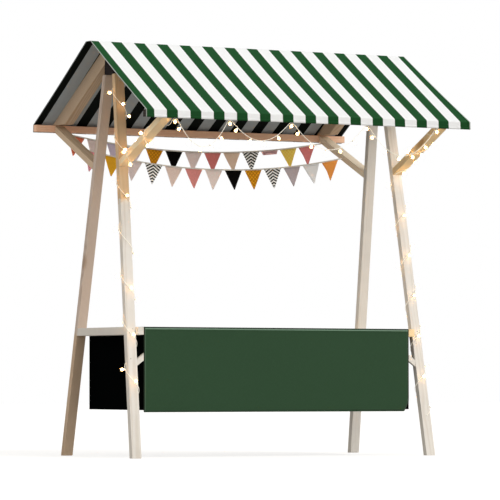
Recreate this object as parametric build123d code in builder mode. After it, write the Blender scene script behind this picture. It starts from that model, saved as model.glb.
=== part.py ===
"""Wooden market stall: two leaning A-frame trusses, a striped gable canopy and a cloth-fronted counter.

Millimetres, +Z up. X runs along the ridge, -Y is the customers' side, and the origin
is on the floor at the middle of the stall.
"""

from build123d import *
from math import atan2, cos, degrees, radians, sin, tan
import os

os.makedirs("parts", exist_ok=True)

# Trusses
truss_half_span = 1015.0        # centre plane of a truss, at the floor
truss_lean = 1.98               # degrees that each truss leans towards the middle
timber_thickness = 62.0         # along X, shared by legs, rafters and struts
leg_depth = 38.0
leg_half_spread = 464.0         # centre of a leg at the floor
head_height = 193.0             # block on the leg tops, up to the ridge
leg_top_half_gap = 62.0         # centre of a leg at its top
rafter_depth = 92.0
rafter_tail_setback = 8.0
strut_depth = 38.0
strut_foot_height = 1740.0      # lower edge, on the outer face of the leg
strut_drop = 3.5                # lower edge below the underside of the eave beam
rail_height = 47.0

# Roof
ridge_height = 2498.0           # top of the ridge beam
ridge_flat_half = 30.0
ridge_beam_height = 95.0
head_half_width = 58.0          # block between the heads of a truss's rafters
eave_beam_width = 40.0
eave_beam_height = 42.0
eave_beam_top = 2040.0
eave_outer = 765.0              # outer face of the eave beams
eave_beam_setback = 1.0         # behind the canopy's ends
eave_beam_arris = 2.0           # planed off each long edge
canopy_overhang = 90.0          # past the centre planes of the trusses, at the floor
canopy_thickness = 1.6
valance_drop = 45.0
cloth_gap = 0.3                 # between a cloth and what it lies on

# Counter
counter_top_height = 777.0
counter_front_overhang = 35.0   # in front of the front legs
counter_rear_overhang = 12.2    # behind the rear legs
bearer_width = 42.0
side_cloth_gap = 0.25           # beside the counter and beside its bearer
board_thickness = 18.0
counter_rail_width = 45.0
batten_width = 60.0
batten_count = 3
side_cloth_bottom = 283.0
front_cloth_bottom = 276.0
cloth_thickness = 1.5
front_cloth_turn = 64.0         # width folded back over the counter
brace_angle = 36.5              # degrees up from level
brace_depth = 32.0
brace_thickness = 22.0
brace_foot_drop = 232.0         # lower edge on the leg's inner face, below the counter's top
brace_notch_gap = 2.0           # between a brace and the cloth that is cut out round it

# Bunting
tape_height = 8.0
tape_thickness = 2.0
flag_thickness = 1.0
flag_width = 122.0
flag_count = 13
flag_length = 122.0
flag_corner = 3.0
flag_end_gap = 2.5              # bare tape before the first pennant
rear_bare_end = 61.0            # bare tape after the last pennant
middle_bare_end = 37.0
bunting_rear_depth = 680.0      # behind the middle plane
bunting_middle_depth = 430.0
rear_tie_height = 1982.0
middle_tie_height = 1874.0
rear_sag = 84.0
middle_sag = 100.0
tie_gap = 0.2

# String lights
lamp_cable_radius = 1.6
cable_standoff = 10.0           # corners of the wound cable, off the timber's faces
cable_gap = 0.3                 # where the cable lies on the timber
cable_end_run = 28.0            # height of a cable's last run, past its last turn round a leg
leg_pitch_left = 277.0
leg_pitch_right = 250.0
strut_pitch = 240.0
left_wind_start = 357.0
right_wind_start = 1700.0
strut_wind_start = 45.0         # along the strut, from its foot
hook_half_width = 10.0
hook_lead = 8.0                 # from an outer hook to where its cable turns down to the strut
hook_drop = 25.0                # height of that turn
hook_inset = 0.5                # share of the eave beam's width
hooks = [-900.0, -537.0, -120.0, 402.0, 900.0]
swag_depths = [163.0, 116.0, 155.0, 176.0]
swag_run_count = [12, 10, 12, 12]
left_run_count = 27
right_run_count = 23
strut_run_count = 8
lamp_profile = [(0.0, 4.5), (9.0, 5.0), (14.0, 10.5), (24.0, 11.5), (31.0, 6.0)]
lamp_gap = 0.45

OUT = {"front": -1, "rear": 1}
ENDS = {"left": -1, "right": 1}

lean_stretch = 1 / cos(radians(truss_lean))
leg_top_height = ridge_height - head_height
roof_pitch = (ridge_height - eave_beam_top) / (eave_outer - ridge_flat_half)
leg_slope = (leg_half_spread - leg_top_half_gap) / leg_top_height
leg_half_width = leg_depth / 2 * (1 + leg_slope ** 2) ** 0.5
canopy_half_length = truss_half_span + canopy_overhang
brace_foot_height = counter_top_height - brace_foot_drop


def save(part, name):
    """Label a finished piece and write its STEP file."""
    part.label = name
    export_step(part, f"parts/{name}.step")


def truss_x(height):
    """Distance of a truss's centre plane from the middle of the stall at a height."""
    return truss_half_span - height * tan(radians(truss_lean))


def truss_plane(end):
    """Centre plane of one truss, its normal towards +X."""
    lean = radians(truss_lean)
    normal = (cos(lean), 0, end * sin(lean))
    return Plane(origin=(end * truss_half_span, 0, 0), x_dir=(0, 1, 0), z_dir=normal)


def leg_centre(height):
    """Distance of a leg's centre line from the middle plane at a height."""
    return leg_half_spread - leg_slope * height


def truss_inner_face(height):
    """Distance of a truss's inner face from the middle of the stall at a height."""
    return truss_x(height) - timber_thickness / 2 * lean_stretch


def roof_line(y):
    """Height of the top edge of the rafters at a distance from the middle plane."""
    return ridge_height - roof_pitch * (y - ridge_flat_half) - cloth_gap


def truss_piece(end, side, corners):
    """Timber of one truss, from its (y, height) corners, between the truss's leaning faces."""
    with BuildPart() as piece:
        with BuildSketch(Plane.YZ):
            with BuildLine():
                Polyline([(side * y, z) for y, z in corners], close=True)
            make_face()
        extrude(amount=end * (truss_half_span + timber_thickness))
        split(bisect_by=truss_plane(end).offset(-timber_thickness / 2), keep=Keep.TOP)
        split(bisect_by=truss_plane(end).offset(timber_thickness / 2), keep=Keep.BOTTOM)
    return piece


def make_leg(end, side):
    """Leg of a truss, its foot and its top cut level."""
    foot, top = leg_centre(0), leg_centre(leg_top_height)
    corners = [
        (foot - leg_half_width, 0),
        (foot + leg_half_width, 0),
        (top + leg_half_width, leg_top_height),
        (top - leg_half_width, leg_top_height),
    ]
    return truss_piece(end, side, corners)


def make_rafter(end, side):
    """Rafter with a plumb head cut at the ridge beam and a level seat on the eave beam."""
    depth = rafter_depth * (1 + roof_pitch ** 2) ** 0.5
    head = head_half_width
    tail = eave_outer - rafter_tail_setback
    seat = ridge_flat_half + (ridge_height - depth - eave_beam_top) / roof_pitch
    corners = [
        (head, roof_line(head)),
        (tail, roof_line(tail)),
        (tail, eave_beam_top),
        (seat, eave_beam_top),
        (head, roof_line(head) - depth),
    ]
    blank = truss_piece(end, side, corners)
    leg = make_leg(end, side)
    with BuildPart() as rafter:
        add(blank.part)
        add(leg.part, mode=Mode.SUBTRACT)
    return rafter


def make_strut(end, side):
    """Strut from the outer face of a leg up to the inner face of an eave beam."""
    outer = eave_outer - eave_beam_width
    foot = leg_centre(strut_foot_height) + leg_half_width
    tip = eave_beam_top - eave_beam_height - strut_drop
    rise = (tip - strut_foot_height) / (outer - foot)
    thick = strut_depth * (1 + rise ** 2) ** 0.5
    drift = thick / (1 + rise * leg_slope)
    corners = [
        (foot, strut_foot_height),
        (outer, tip),
        (outer, tip + thick),
        (foot - leg_slope * drift, strut_foot_height + drift),
    ]
    return truss_piece(end, side, corners)


def make_side_rail(end):
    """Rail between the two legs of a truss, flush with them."""
    top, bottom = counter_top_height, counter_top_height - rail_height
    inner_low = leg_centre(bottom) - leg_half_width
    inner_high = leg_centre(top) - leg_half_width
    corners = [(-inner_low, bottom), (inner_low, bottom), (inner_high, top), (-inner_high, top)]
    return truss_piece(end, 1, corners)


def make_truss_head(end):
    """Block on the tops of a truss's legs, between the rafters' heads, planed to the roof's slope."""
    corners = [
        (-head_half_width, leg_top_height),
        (head_half_width, leg_top_height),
        (head_half_width, roof_line(head_half_width)),
        (ridge_flat_half, ridge_height),
        (-ridge_flat_half, ridge_height),
        (-head_half_width, roof_line(head_half_width)),
    ]
    return truss_piece(end, 1, corners)


def make_ridge_beam():
    """Ridge beam between the two truss heads."""
    with BuildPart() as beam:
        with BuildSketch(Plane.YZ):
            with Locations((0, ridge_height - ridge_beam_height / 2)):
                Rectangle(2 * ridge_flat_half, ridge_beam_height)
        extrude(amount=truss_half_span, both=True)
        split(bisect_by=truss_plane(-1).offset(timber_thickness / 2), keep=Keep.TOP)
        split(bisect_by=truss_plane(1).offset(-timber_thickness / 2), keep=Keep.BOTTOM)
    return beam


def make_eave_beam(side):
    """Eave beam that the rafters sit on."""
    centre_y = side * (eave_outer - eave_beam_width / 2)
    with BuildPart() as beam:
        with BuildSketch(Plane.YZ):
            with Locations((centre_y, eave_beam_top - eave_beam_height / 2)):
                Rectangle(eave_beam_width, eave_beam_height)
        extrude(amount=canopy_half_length - eave_beam_setback, both=True)
        chamfer(beam.edges().filter_by(Axis.X), length=eave_beam_arris)
    return beam


def make_canopy():
    """Striped cloth over the ridge and both eaves, with a short valance on each side."""
    top = ridge_height + cloth_gap
    fold = eave_outer + cloth_gap
    fold_height = eave_beam_top + cloth_gap
    bottom = eave_beam_top - valance_drop
    with BuildPart() as canopy:
        with BuildSketch(Plane.YZ):
            with BuildLine():
                Polyline(
                    (-fold, bottom),
                    (-fold, fold_height),
                    (-ridge_flat_half, top),
                    (ridge_flat_half, top),
                    (fold, fold_height),
                    (fold, bottom),
                )
                offset(amount=canopy_thickness, side=Side.LEFT, kind=Kind.INTERSECTION)
            make_face()
        extrude(amount=canopy_half_length, both=True)
    return canopy


counter_end = truss_inner_face(counter_top_height) - bearer_width
counter_half_length = counter_end - cloth_thickness - 2 * side_cloth_gap
counter_front = leg_centre(counter_top_height) + leg_half_width + counter_front_overhang
counter_rear = leg_centre(counter_top_height) + leg_half_width + counter_rear_overhang


def make_bearer(end):
    """Bearer bolted to the inner faces of a truss's legs, carrying the counter's end."""
    top, bottom = counter_top_height, counter_top_height - rail_height
    corners = [
        (end * counter_end, bottom),
        (end * truss_inner_face(bottom), bottom),
        (end * truss_inner_face(top), top),
        (end * counter_end, top),
    ]
    with BuildPart() as bearer:
        with BuildSketch(Plane.XZ.offset(-counter_rear)):
            with BuildLine():
                Polyline(corners, close=True)
            make_face()
        extrude(amount=counter_rear + counter_front)
    return bearer


def make_counter_rail(side):
    """Rail under one long edge of the counter."""
    reach = counter_front if side < 0 else counter_rear
    with BuildPart() as rail:
        with BuildSketch(Plane.XY.offset(counter_top_height - rail_height)):
            with Locations((0, side * (reach - counter_rail_width / 2))):
                Rectangle(2 * counter_half_length, counter_rail_width)
        extrude(amount=rail_height - board_thickness)
    return rail


def brace_edge(x):
    """Height of a brace's lower edge at a distance from the middle of the stall."""
    return brace_foot_height + (truss_inner_face(brace_foot_height) - x) * tan(radians(brace_angle))


def make_brace(end):
    """Brace from the inner face of a front leg up to the underside of the front counter rail."""
    rise = tan(radians(brace_angle))
    thick = brace_depth / cos(radians(brace_angle))
    drift = thick / (1 - rise * tan(radians(truss_lean)))
    foot = truss_inner_face(brace_foot_height)
    top = counter_top_height - rail_height
    corners = [
        (end * foot, brace_foot_height),
        (end * truss_inner_face(brace_foot_height + drift), brace_foot_height + drift),
        (end * (foot - (top - brace_foot_height - thick) / rise), top),
        (end * (foot - (top - brace_foot_height) / rise), top),
    ]
    with BuildPart() as brace:
        with BuildSketch(Plane.XZ.offset(counter_front)):
            with BuildLine():
                Polyline(corners, close=True)
            make_face()
        extrude(amount=-brace_thickness)
    return brace


def make_battens():
    """Battens between the two rails, under the counter's boards."""
    front, rear = -counter_front + counter_rail_width, counter_rear - counter_rail_width
    pitch = 2 * counter_half_length / (batten_count + 1)
    with BuildPart() as battens:
        with BuildSketch(Plane.XY.offset(counter_top_height - rail_height)):
            with Locations((0, (front + rear) / 2)):
                with GridLocations(pitch, 1, batten_count, 1):
                    Rectangle(batten_width, rear - front)
        extrude(amount=rail_height - board_thickness)
    return battens


def make_counter_top():
    """Boarded top of the counter."""
    with BuildPart() as board:
        with BuildSketch(Plane.XY.offset(counter_top_height - board_thickness)):
            with Locations((0, (counter_rear - counter_front) / 2)):
                Rectangle(2 * counter_half_length, counter_front + counter_rear)
        extrude(amount=board_thickness)
    return board


def make_front_cloth():
    """Cloth that hangs down the counter's front, folded back over its top edge."""
    back = -counter_front - cloth_gap
    under = counter_top_height + cloth_gap
    half = counter_half_length + cloth_thickness
    with BuildPart() as cloth:
        with BuildSketch(Plane.YZ):
            with BuildLine():
                Polyline((back, front_cloth_bottom), (back, under), (back + front_cloth_turn, under))
                offset(amount=cloth_thickness, side=Side.LEFT, kind=Kind.INTERSECTION)
            make_face()
        extrude(amount=half, both=True)
    return cloth


def make_side_cloth(end):
    """Cloth between the counter's end and its bearer, down to knee height and cut out round the brace."""
    face = counter_half_length + side_cloth_gap
    top = counter_top_height - cloth_gap
    notch_low = brace_edge(face + cloth_thickness) - brace_notch_gap
    notch_high = brace_edge(face) + brace_depth / cos(radians(brace_angle)) + brace_notch_gap
    notch_depth = brace_thickness + brace_notch_gap
    with BuildPart() as cloth:
        with BuildSketch(Plane.YZ.offset(end * (face + cloth_thickness / 2))):
            with Locations(((counter_rear - counter_front) / 2, (top + side_cloth_bottom) / 2)):
                Rectangle(counter_rear + counter_front, top - side_cloth_bottom)
            with Locations((notch_depth / 2 - counter_front, (notch_low + notch_high) / 2)):
                Rectangle(notch_depth, notch_high - notch_low, mode=Mode.SUBTRACT)
        extrude(amount=cloth_thickness / 2, both=True)
    return cloth


def make_bunting(depth, tie_height, sag, bare_end):
    """Tape hung between two struts with a row of pennants, all in one upright plane."""
    reach = truss_inner_face(tie_height) - tie_gap
    with BuildPart() as bunting:
        with BuildSketch(Plane.XZ.offset(-depth)):
            with BuildLine():
                edge = ThreePointArc((-reach, tie_height), (0, tie_height - sag), (reach, tie_height))
                offset(amount=tape_height, side=Side.LEFT)
            make_face()
        extrude(amount=tape_thickness / 2, both=True)
        first = flag_end_gap + flag_width / 2
        last = edge.length - bare_end - flag_width / 2
        with BuildSketch(Plane.XZ.offset(-depth)):
            for number in range(flag_count):
                share = (first + (last - first) * number / (flag_count - 1)) / edge.length
                place, run = edge @ share, edge % share
                angle = degrees(atan2(run.Y, run.X))
                with Locations(Location((place.X, place.Y, 0), (0, 0, angle))):
                    Polygon(
                        (-flag_width / 2, tape_height / 2),
                        (-flag_corner, -flag_length),
                        (flag_corner, -flag_length),
                        (flag_width / 2, tape_height / 2),
                        align=None,
                    )
        extrude(amount=flag_thickness / 2, both=True)
    return bunting


def leg_axis(end, side):
    """Centre of a leg at a height, and its depth direction."""
    def centre(height):
        return Vector(end * truss_x(height), side * leg_centre(height), height)
    return centre, Vector(0, side, 0), leg_half_width


def strut_axis(end, side):
    """Centre of a strut at a distance along it from its foot, and its depth direction, downwards."""
    foot = leg_centre(strut_foot_height) + leg_half_width
    tip = eave_beam_top - eave_beam_height - strut_drop
    angle = atan2(tip - strut_foot_height, eave_outer - eave_beam_width - foot)
    start_y = foot - strut_depth / 2 * sin(angle)
    start_z = strut_foot_height + strut_depth / 2 * cos(angle)

    def centre(along):
        height = start_z + along * sin(angle)
        return Vector(end * truss_x(height), side * (start_y + along * cos(angle)), height)
    return centre, Vector(0, side * sin(angle), -cos(angle)), strut_depth / 2


def wind(axis, end, start, pitch, order, runs):
    """Corners of a cable wound round a timber, and the way that each run faces."""
    centre, down, half_depth = axis
    half_width = timber_thickness / 2 * lean_stretch + cable_standoff
    half_depth = half_depth + cable_standoff
    girth = 4 * (half_width + half_depth)
    station, corners, facing = start, [], []
    for number in range(runs + 1):
        across, deep = order[number % 4]
        corners.append(centre(station) + Vector(end * across * half_width, 0, 0) + down * deep * half_depth)
        next_across, next_deep = order[(number + 1) % 4]
        if across == next_across:
            facing.append(Vector(end * across, 0, 0))
            station += pitch * 2 * half_depth / girth
        else:
            facing.append(down * deep)
            station += pitch * 2 * half_width / girth
    return corners, facing[:-1]


def swag(first, last, depth, runs):
    """Points of a hanging cable between two hooks, its end runs half as long as the others."""
    line = eave_beam_top - eave_beam_height - cable_gap - lamp_cable_radius
    depth_y = -(eave_outer - hook_inset * eave_beam_width)
    shares = [0.0] + [(number + 0.5) / (runs - 1) for number in range(runs - 1)] + [1.0]
    return [
        Vector(first + share * (last - first), depth_y, line - 4 * depth * share * (1 - share))
        for share in shares
    ]


def corner_radii(points):
    """Radius of each corner of a cable: 0.45 of its shorter run over the tangent of half the turn."""
    radii = []
    for before, point, after in zip(points, points[1:], points[2:]):
        shorter = min((point - before).length, (after - point).length)
        turn = (point - before).get_angle(after - point)
        radii.append(0.45 * shorter / tan(radians(turn / 2)))
    return radii


def make_cable(points, name):
    """Cable with a four-sided section along straight runs and tangent arcs."""
    radii = corner_radii(points)
    with BuildPart() as cable:
        with BuildLine() as route:
            path = FilletPolyline(points, radius=radii)
        with BuildSketch(Plane(origin=path @ 0, z_dir=path % 0)):
            RegularPolygon(lamp_cable_radius, 4)
        sweep()
    length = sum(edge.length for edge in route.edges())
    section = 2 * lamp_cable_radius ** 2
    print(f"{name}: length {length:.0f}, smallest radius {min(radii):.1f}, largest {max(radii):.0f},"
          f" volume over section times length {cable.part.volume / (section * length):.4f}")
    return cable


def make_lamp():
    """Globe lamp and its holder, along +Z from the cable."""
    with BuildPart() as lamp:
        for height, radius in lamp_profile:
            with BuildSketch(Plane.XY.offset(height)):
                RegularPolygon(radius, 6)
        loft(ruled=True)
    return lamp


def make_lamps(places):
    """Lamps on a cable, each at the middle of a run and square to it."""
    lamp = make_lamp()
    seat = lamp_cable_radius + lamp_gap
    seats = [Plane(origin=middle + facing * seat, z_dir=facing).location for middle, facing in places]
    with BuildPart() as lamps:
        with Locations(seats):
            add(lamp.part)
    return lamps


def lamp_places(points, facing, skip):
    """Middle and facing of every run that carries a lamp."""
    places = []
    for number, way in enumerate(facing):
        if number not in skip:
            places.append(((points[number] + points[number + 1]) * 0.5, way))
    return places


def swag_lamps(points):
    """Middle and facing, square to the cable, of a lamp below every second run of a swag."""
    places = []
    for number in range(1, len(points) - 2, 2):
        run = (points[number + 1] - points[number]).normalized()
        places.append(((points[number] + points[number + 1]) * 0.5, Vector(run.Z, 0, -run.X)))
    return places


def make_left_lights():
    """Cable wound up the left front leg, with its lamps."""
    leg = leg_axis(-1, -1)
    centre, down, half_depth = leg
    order = [(-1, -1), (-1, 1), (1, 1), (1, -1)]
    corners, facing = wind(leg, -1, left_wind_start, leg_pitch_left, order, left_run_count)
    seat = half_depth + lamp_cable_radius + cable_gap
    head = centre(corners[0].Z - cable_end_run) - down * seat
    tail = centre(corners[-1].Z + cable_end_run) - down * seat
    return [head, *corners, tail], lamp_places(corners, facing, {0, 4, 13, 20})


def make_front_lights():
    """Cable up the left strut, in swags along the eave and down the right strut and leg."""
    line = eave_beam_top - eave_beam_height - cable_gap - lamp_cable_radius
    depth_y = -(eave_outer - hook_inset * eave_beam_width)
    up, up_facing = wind(
        strut_axis(-1, -1), -1, strut_wind_start, strut_pitch,
        [(-1, 1), (1, 1), (1, -1), (-1, -1)], strut_run_count)
    down, down_facing = wind(
        strut_axis(1, -1), 1, strut_wind_start + 2 * strut_pitch, -strut_pitch,
        [(-1, 1), (-1, -1), (1, -1), (1, 1)], strut_run_count)
    low, low_facing = wind(
        leg_axis(1, -1), 1, right_wind_start, -leg_pitch_right,
        [(-1, 1), (-1, -1), (1, -1), (1, 1)], right_run_count)
    places = lamp_places(up, up_facing, {6, 7})
    points = list(up)
    turn_y = depth_y + hook_lead + hook_drop
    points.append(Vector(hooks[0] - hook_half_width, turn_y, line - hook_drop))
    points.append(Vector(hooks[0] - hook_half_width, depth_y + hook_lead, line))
    for number, depth in enumerate(swag_depths):
        first, last = hooks[number] + hook_half_width, hooks[number + 1] - hook_half_width
        stretch = swag(first, last, depth, swag_run_count[number])
        places.append(((points[-1] + stretch[0]) * 0.5, Vector(0, 0, -1)))
        places.extend(swag_lamps(stretch))
        points.extend(stretch)
    points.append(Vector(hooks[-1] + hook_half_width, depth_y + hook_lead, line))
    places.append(((points[-2] + points[-1]) * 0.5, Vector(0, 0, -1)))
    points.append(Vector(hooks[-1] + hook_half_width, turn_y, line - hook_drop))
    points.extend(down)
    points.extend(low)
    centre, outwards, half_depth = leg_axis(1, -1)
    seat = half_depth + lamp_cable_radius + cable_gap
    points.append(centre(low[-1].Z - cable_end_run) + outwards * seat)
    places.extend(lamp_places(down, down_facing, {0, 1}))
    places.extend(lamp_places(low, low_facing, {12, 16, 20}))
    return points, places


for end_name, end in ENDS.items():
    for side_name, side in OUT.items():
        save(make_leg(end, side).part, f"leg_{end_name}_{side_name}")
        save(make_rafter(end, side).part, f"rafter_{end_name}_{side_name}")
        save(make_strut(end, side).part, f"strut_{end_name}_{side_name}")
    save(make_truss_head(end).part, f"truss_head_{end_name}")
    save(make_side_rail(end).part, f"side_rail_{end_name}")
    save(make_bearer(end).part, f"counter_bearer_{end_name}")
    save(make_brace(end).part, f"counter_brace_{end_name}")
    save(make_side_cloth(end).part, f"side_cloth_{end_name}")

for side_name, side in OUT.items():
    save(make_eave_beam(side).part, f"eave_beam_{side_name}")
    save(make_counter_rail(side).part, f"counter_rail_{side_name}")

save(make_ridge_beam().part, "ridge_beam")
save(make_canopy().part, "canopy")
save(make_battens().part, "counter_battens")
save(make_counter_top().part, "counter_top")
save(make_front_cloth().part, "front_cloth")
rear_bunting = make_bunting(bunting_rear_depth, rear_tie_height, rear_sag, rear_bare_end)
middle_bunting = make_bunting(bunting_middle_depth, middle_tie_height, middle_sag, middle_bare_end)
save(rear_bunting.part, "bunting_rear")
save(middle_bunting.part, "bunting_middle")

for name, lights in (("left", make_left_lights()), ("front", make_front_lights())):
    save(make_cable(lights[0], f"light_cable_{name}").part, f"light_cable_{name}")
    save(make_lamps(lights[1]).part, f"light_bulbs_{name}")
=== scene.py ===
"""Wooden market stall: its timber, cloths, pennants and string lights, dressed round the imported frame.

Metres, +Z up. X runs along the ridge, -Y is the customers' side and the floor is at 0.
"""

from __future__ import annotations

import logging
import math
import random
from collections.abc import Callable, Iterable, Sequence
from dataclasses import dataclass, field
from enum import Enum
from functools import partial

import bmesh
import bpy
from mathutils import Matrix, Vector

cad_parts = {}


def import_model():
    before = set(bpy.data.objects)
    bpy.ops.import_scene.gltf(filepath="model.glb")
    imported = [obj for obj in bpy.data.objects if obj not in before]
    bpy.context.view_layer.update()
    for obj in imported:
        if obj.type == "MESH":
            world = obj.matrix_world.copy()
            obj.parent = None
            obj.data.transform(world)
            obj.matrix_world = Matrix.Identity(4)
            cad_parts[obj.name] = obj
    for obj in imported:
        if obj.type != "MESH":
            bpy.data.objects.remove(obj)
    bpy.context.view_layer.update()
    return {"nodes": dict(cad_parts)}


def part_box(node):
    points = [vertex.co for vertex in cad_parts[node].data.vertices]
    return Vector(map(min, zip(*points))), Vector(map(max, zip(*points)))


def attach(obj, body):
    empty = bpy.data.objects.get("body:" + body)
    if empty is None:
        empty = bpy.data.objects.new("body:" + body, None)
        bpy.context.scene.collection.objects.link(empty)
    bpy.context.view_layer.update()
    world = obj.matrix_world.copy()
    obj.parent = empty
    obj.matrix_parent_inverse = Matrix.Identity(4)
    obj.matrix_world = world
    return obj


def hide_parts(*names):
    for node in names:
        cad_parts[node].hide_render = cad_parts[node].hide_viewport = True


log = logging.getLogger("stall")

Colour = tuple[float, float, float]
Socket = bpy.types.NodeSocket
Value = float | Socket | Sequence[float]
# A timber's centre line, its depth direction and its half depth.
Axis = tuple[Callable[[float], Vector], Vector, float]
# The middle of a run of cable and the way its lamp faces, or the place of a screw and the way it faces.
Seat = tuple[Vector, Vector]
# A point of a cloth and its flat place.
Stitch = tuple[Vector, tuple[float, float]]


def srgb(red: int, green: int, blue: int) -> Colour:
    """Linear colour of an 8-bit display colour.

    Args:
        red, green, blue: The display values, 0 to 255.

    Returns:
        The same colour in the linear values that a shader takes.
    """
    def linear(level: int) -> float:
        """Linear value of one display value."""
        share = level / 255
        return share / 12.92 if share <= 0.04045 else ((share + 0.055) / 1.055) ** 2.4
    return linear(red), linear(green), linear(blue)


# ---------------------------------------------------------------- shader graphs


class Graph:
    """A node tree, with short calls that add nodes and join them."""

    def __init__(self, tree: bpy.types.NodeTree) -> None:
        """Keeps the tree that the calls work on."""
        self.tree = tree

    def node(self, kind: str, **settings: object) -> bpy.types.Node:
        """Adds a node.

        Args:
            kind: The node's type name, without ShaderNode.
            settings: Attributes to set on it.

        Returns:
            The node.
        """
        made = self.tree.nodes.new(kind if kind.startswith("Node") else "ShaderNode" + kind)
        for name, value in settings.items():
            setattr(made, name, value)
        return made

    def feed(self, socket: Socket, value: Value) -> None:
        """Joins a socket to another, or sets its value."""
        if isinstance(value, bpy.types.NodeSocket):
            self.tree.links.new(value, socket)
        elif isinstance(value, (tuple, list, Vector)) and socket.type == "RGBA":
            socket.default_value = (*value[:3], 1.0)
        else:
            socket.default_value = value

    def math(self, operation: str, first: Value, second: Value = 0.0, third: Value = 0.0) -> Socket:
        """Adds a Math node and returns its result."""
        made = self.node("Math", operation=operation)
        for socket, value in zip(made.inputs, (first, second, third)):
            self.feed(socket, value)
        return made.outputs[0]

    def times(self, first: Value, second: Value) -> Socket:
        """Product of two values."""
        return self.math("MULTIPLY", first, second)

    def plus(self, first: Value, second: Value) -> Socket:
        """Sum of two values."""
        return self.math("ADD", first, second)

    def minus(self, first: Value, second: Value) -> Socket:
        """Difference of two values."""
        return self.math("SUBTRACT", first, second)

    def vector(self, operation: str, first: Value, second: Value = (0.0, 0.0, 0.0)) -> Socket:
        """Adds a Vector Math node and returns its result."""
        made = self.node("VectorMath", operation=operation)
        self.feed(made.inputs[0], first)
        self.feed(made.inputs[1], second)
        return made.outputs["Value" if operation in ("LENGTH", "DISTANCE", "DOT_PRODUCT") else "Vector"]

    def mix(self, share: Value, first: Value, second: Value, blend: str = "MIX") -> Socket:
        """Adds a colour mix and returns its result."""
        made = self.node("Mix", data_type="RGBA", blend_type=blend)
        self.feed(made.inputs[0], share)
        self.feed(made.inputs[6], first)
        self.feed(made.inputs[7], second)
        return made.outputs[2]

    def ramp(self, value: Value, low: float, high: float, first: float = 0.0, last: float = 1.0) -> Socket:
        """Smooth step of a value between two levels.

        Args:
            value: What is mapped.
            low, high: The levels where the step starts and ends.
            first, last: The results at those levels.

        Returns:
            The stepped value.
        """
        made = self.node("MapRange", interpolation_type="SMOOTHSTEP")
        for socket, level in zip(made.inputs, (value, low, high, first, last)):
            self.feed(socket, level)
        return made.outputs[0]

    def edge(
        self, value: Value, level: float, blur: float, before: float = 1.0, after: float = 0.0,
    ) -> Socket:
        """Soft edge at a level.

        Args:
            value: What is compared with the level.
            level: Where the edge lies.
            blur: Half of the width over which it changes.
            before: The result below the level.
            after: The result above it.

        Returns:
            The result.
        """
        return self.ramp(value, level - blur, level + blur, before, after)

    def noise(self, where: Value, scale: Value, detail: float = 2.0, colour: bool = False) -> Socket:
        """Adds a noise texture; its colour is returned where colour is true, else its value."""
        made = self.node("TexNoise")
        self.feed(made.inputs["Vector"], where)
        self.feed(made.inputs["Scale"], scale)
        self.feed(made.inputs["Detail"], detail)
        return made.outputs[1 if colour else 0]

    def parts(self, vector: Value) -> Sequence[Socket]:
        """X, Y and Z of a vector."""
        made = self.node("SeparateXYZ")
        self.feed(made.inputs[0], vector)
        return made.outputs[:3]

    def where(self, kind: str = "Object") -> Socket:
        """Place on the stall, or the flat place on a cloth where kind is UV."""
        return self.node("TexCoord").outputs[kind]

    def bump(self, height: Value, strength: float, distance: float) -> Socket:
        """Normal of a bump with a height in metres times distance."""
        made = self.node("Bump")
        made.inputs["Strength"].default_value = strength
        made.inputs["Distance"].default_value = distance
        self.feed(made.inputs["Height"], height)
        return made.outputs[0]

    def group(self, tree: bpy.types.NodeTree, **inputs: Value) -> bpy.types.Node:
        """Places a node group and feeds its inputs, underscores standing for spaces in their names."""
        made = self.node("Group", node_tree=tree)
        for name, value in inputs.items():
            self.feed(made.inputs[name.replace("_", " ")], value)
        return made

    def soiled(self, colour: Value, where: Value, amount: float) -> Socket:
        """Colour that is unevenly faded and soiled."""
        soil = self.group(SoilMottle.tree(), Vector=where, Amount=amount)
        return self.mix(1.0, colour, soil.outputs["Shade"], "MULTIPLY")


class EffectGroup:
    """A shared shader effect: a node group that is built once."""

    title = "Effect"
    takes: tuple[tuple[str, str], ...] = ()
    gives: tuple[tuple[str, str], ...] = ()
    kinds = {"value": "NodeSocketFloat", "colour": "NodeSocketColor", "vector": "NodeSocketVector"}

    @classmethod
    def tree(cls) -> bpy.types.NodeTree:
        """Returns the group's tree, building it on the first call."""
        found = bpy.data.node_groups.get(cls.title)
        if found:
            return found
        made = bpy.data.node_groups.new(cls.title, "ShaderNodeTree")
        for name, kind in cls.takes:
            made.interface.new_socket(name=name, in_out="INPUT", socket_type=cls.kinds[kind])
        for name, kind in cls.gives:
            made.interface.new_socket(name=name, in_out="OUTPUT", socket_type=cls.kinds[kind])
        graph = Graph(made)
        entry, leave = graph.node("NodeGroupInput"), graph.node("NodeGroupOutput")
        for name, value in cls.draw(graph, entry.outputs).items():
            graph.feed(leave.inputs[name], value)
        return made

    @classmethod
    def draw(cls, graph: Graph, given: bpy.types.bpy_prop_collection) -> dict[str, Value]:
        """Draws the effect and returns what each output gives."""
        raise NotImplementedError


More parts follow.
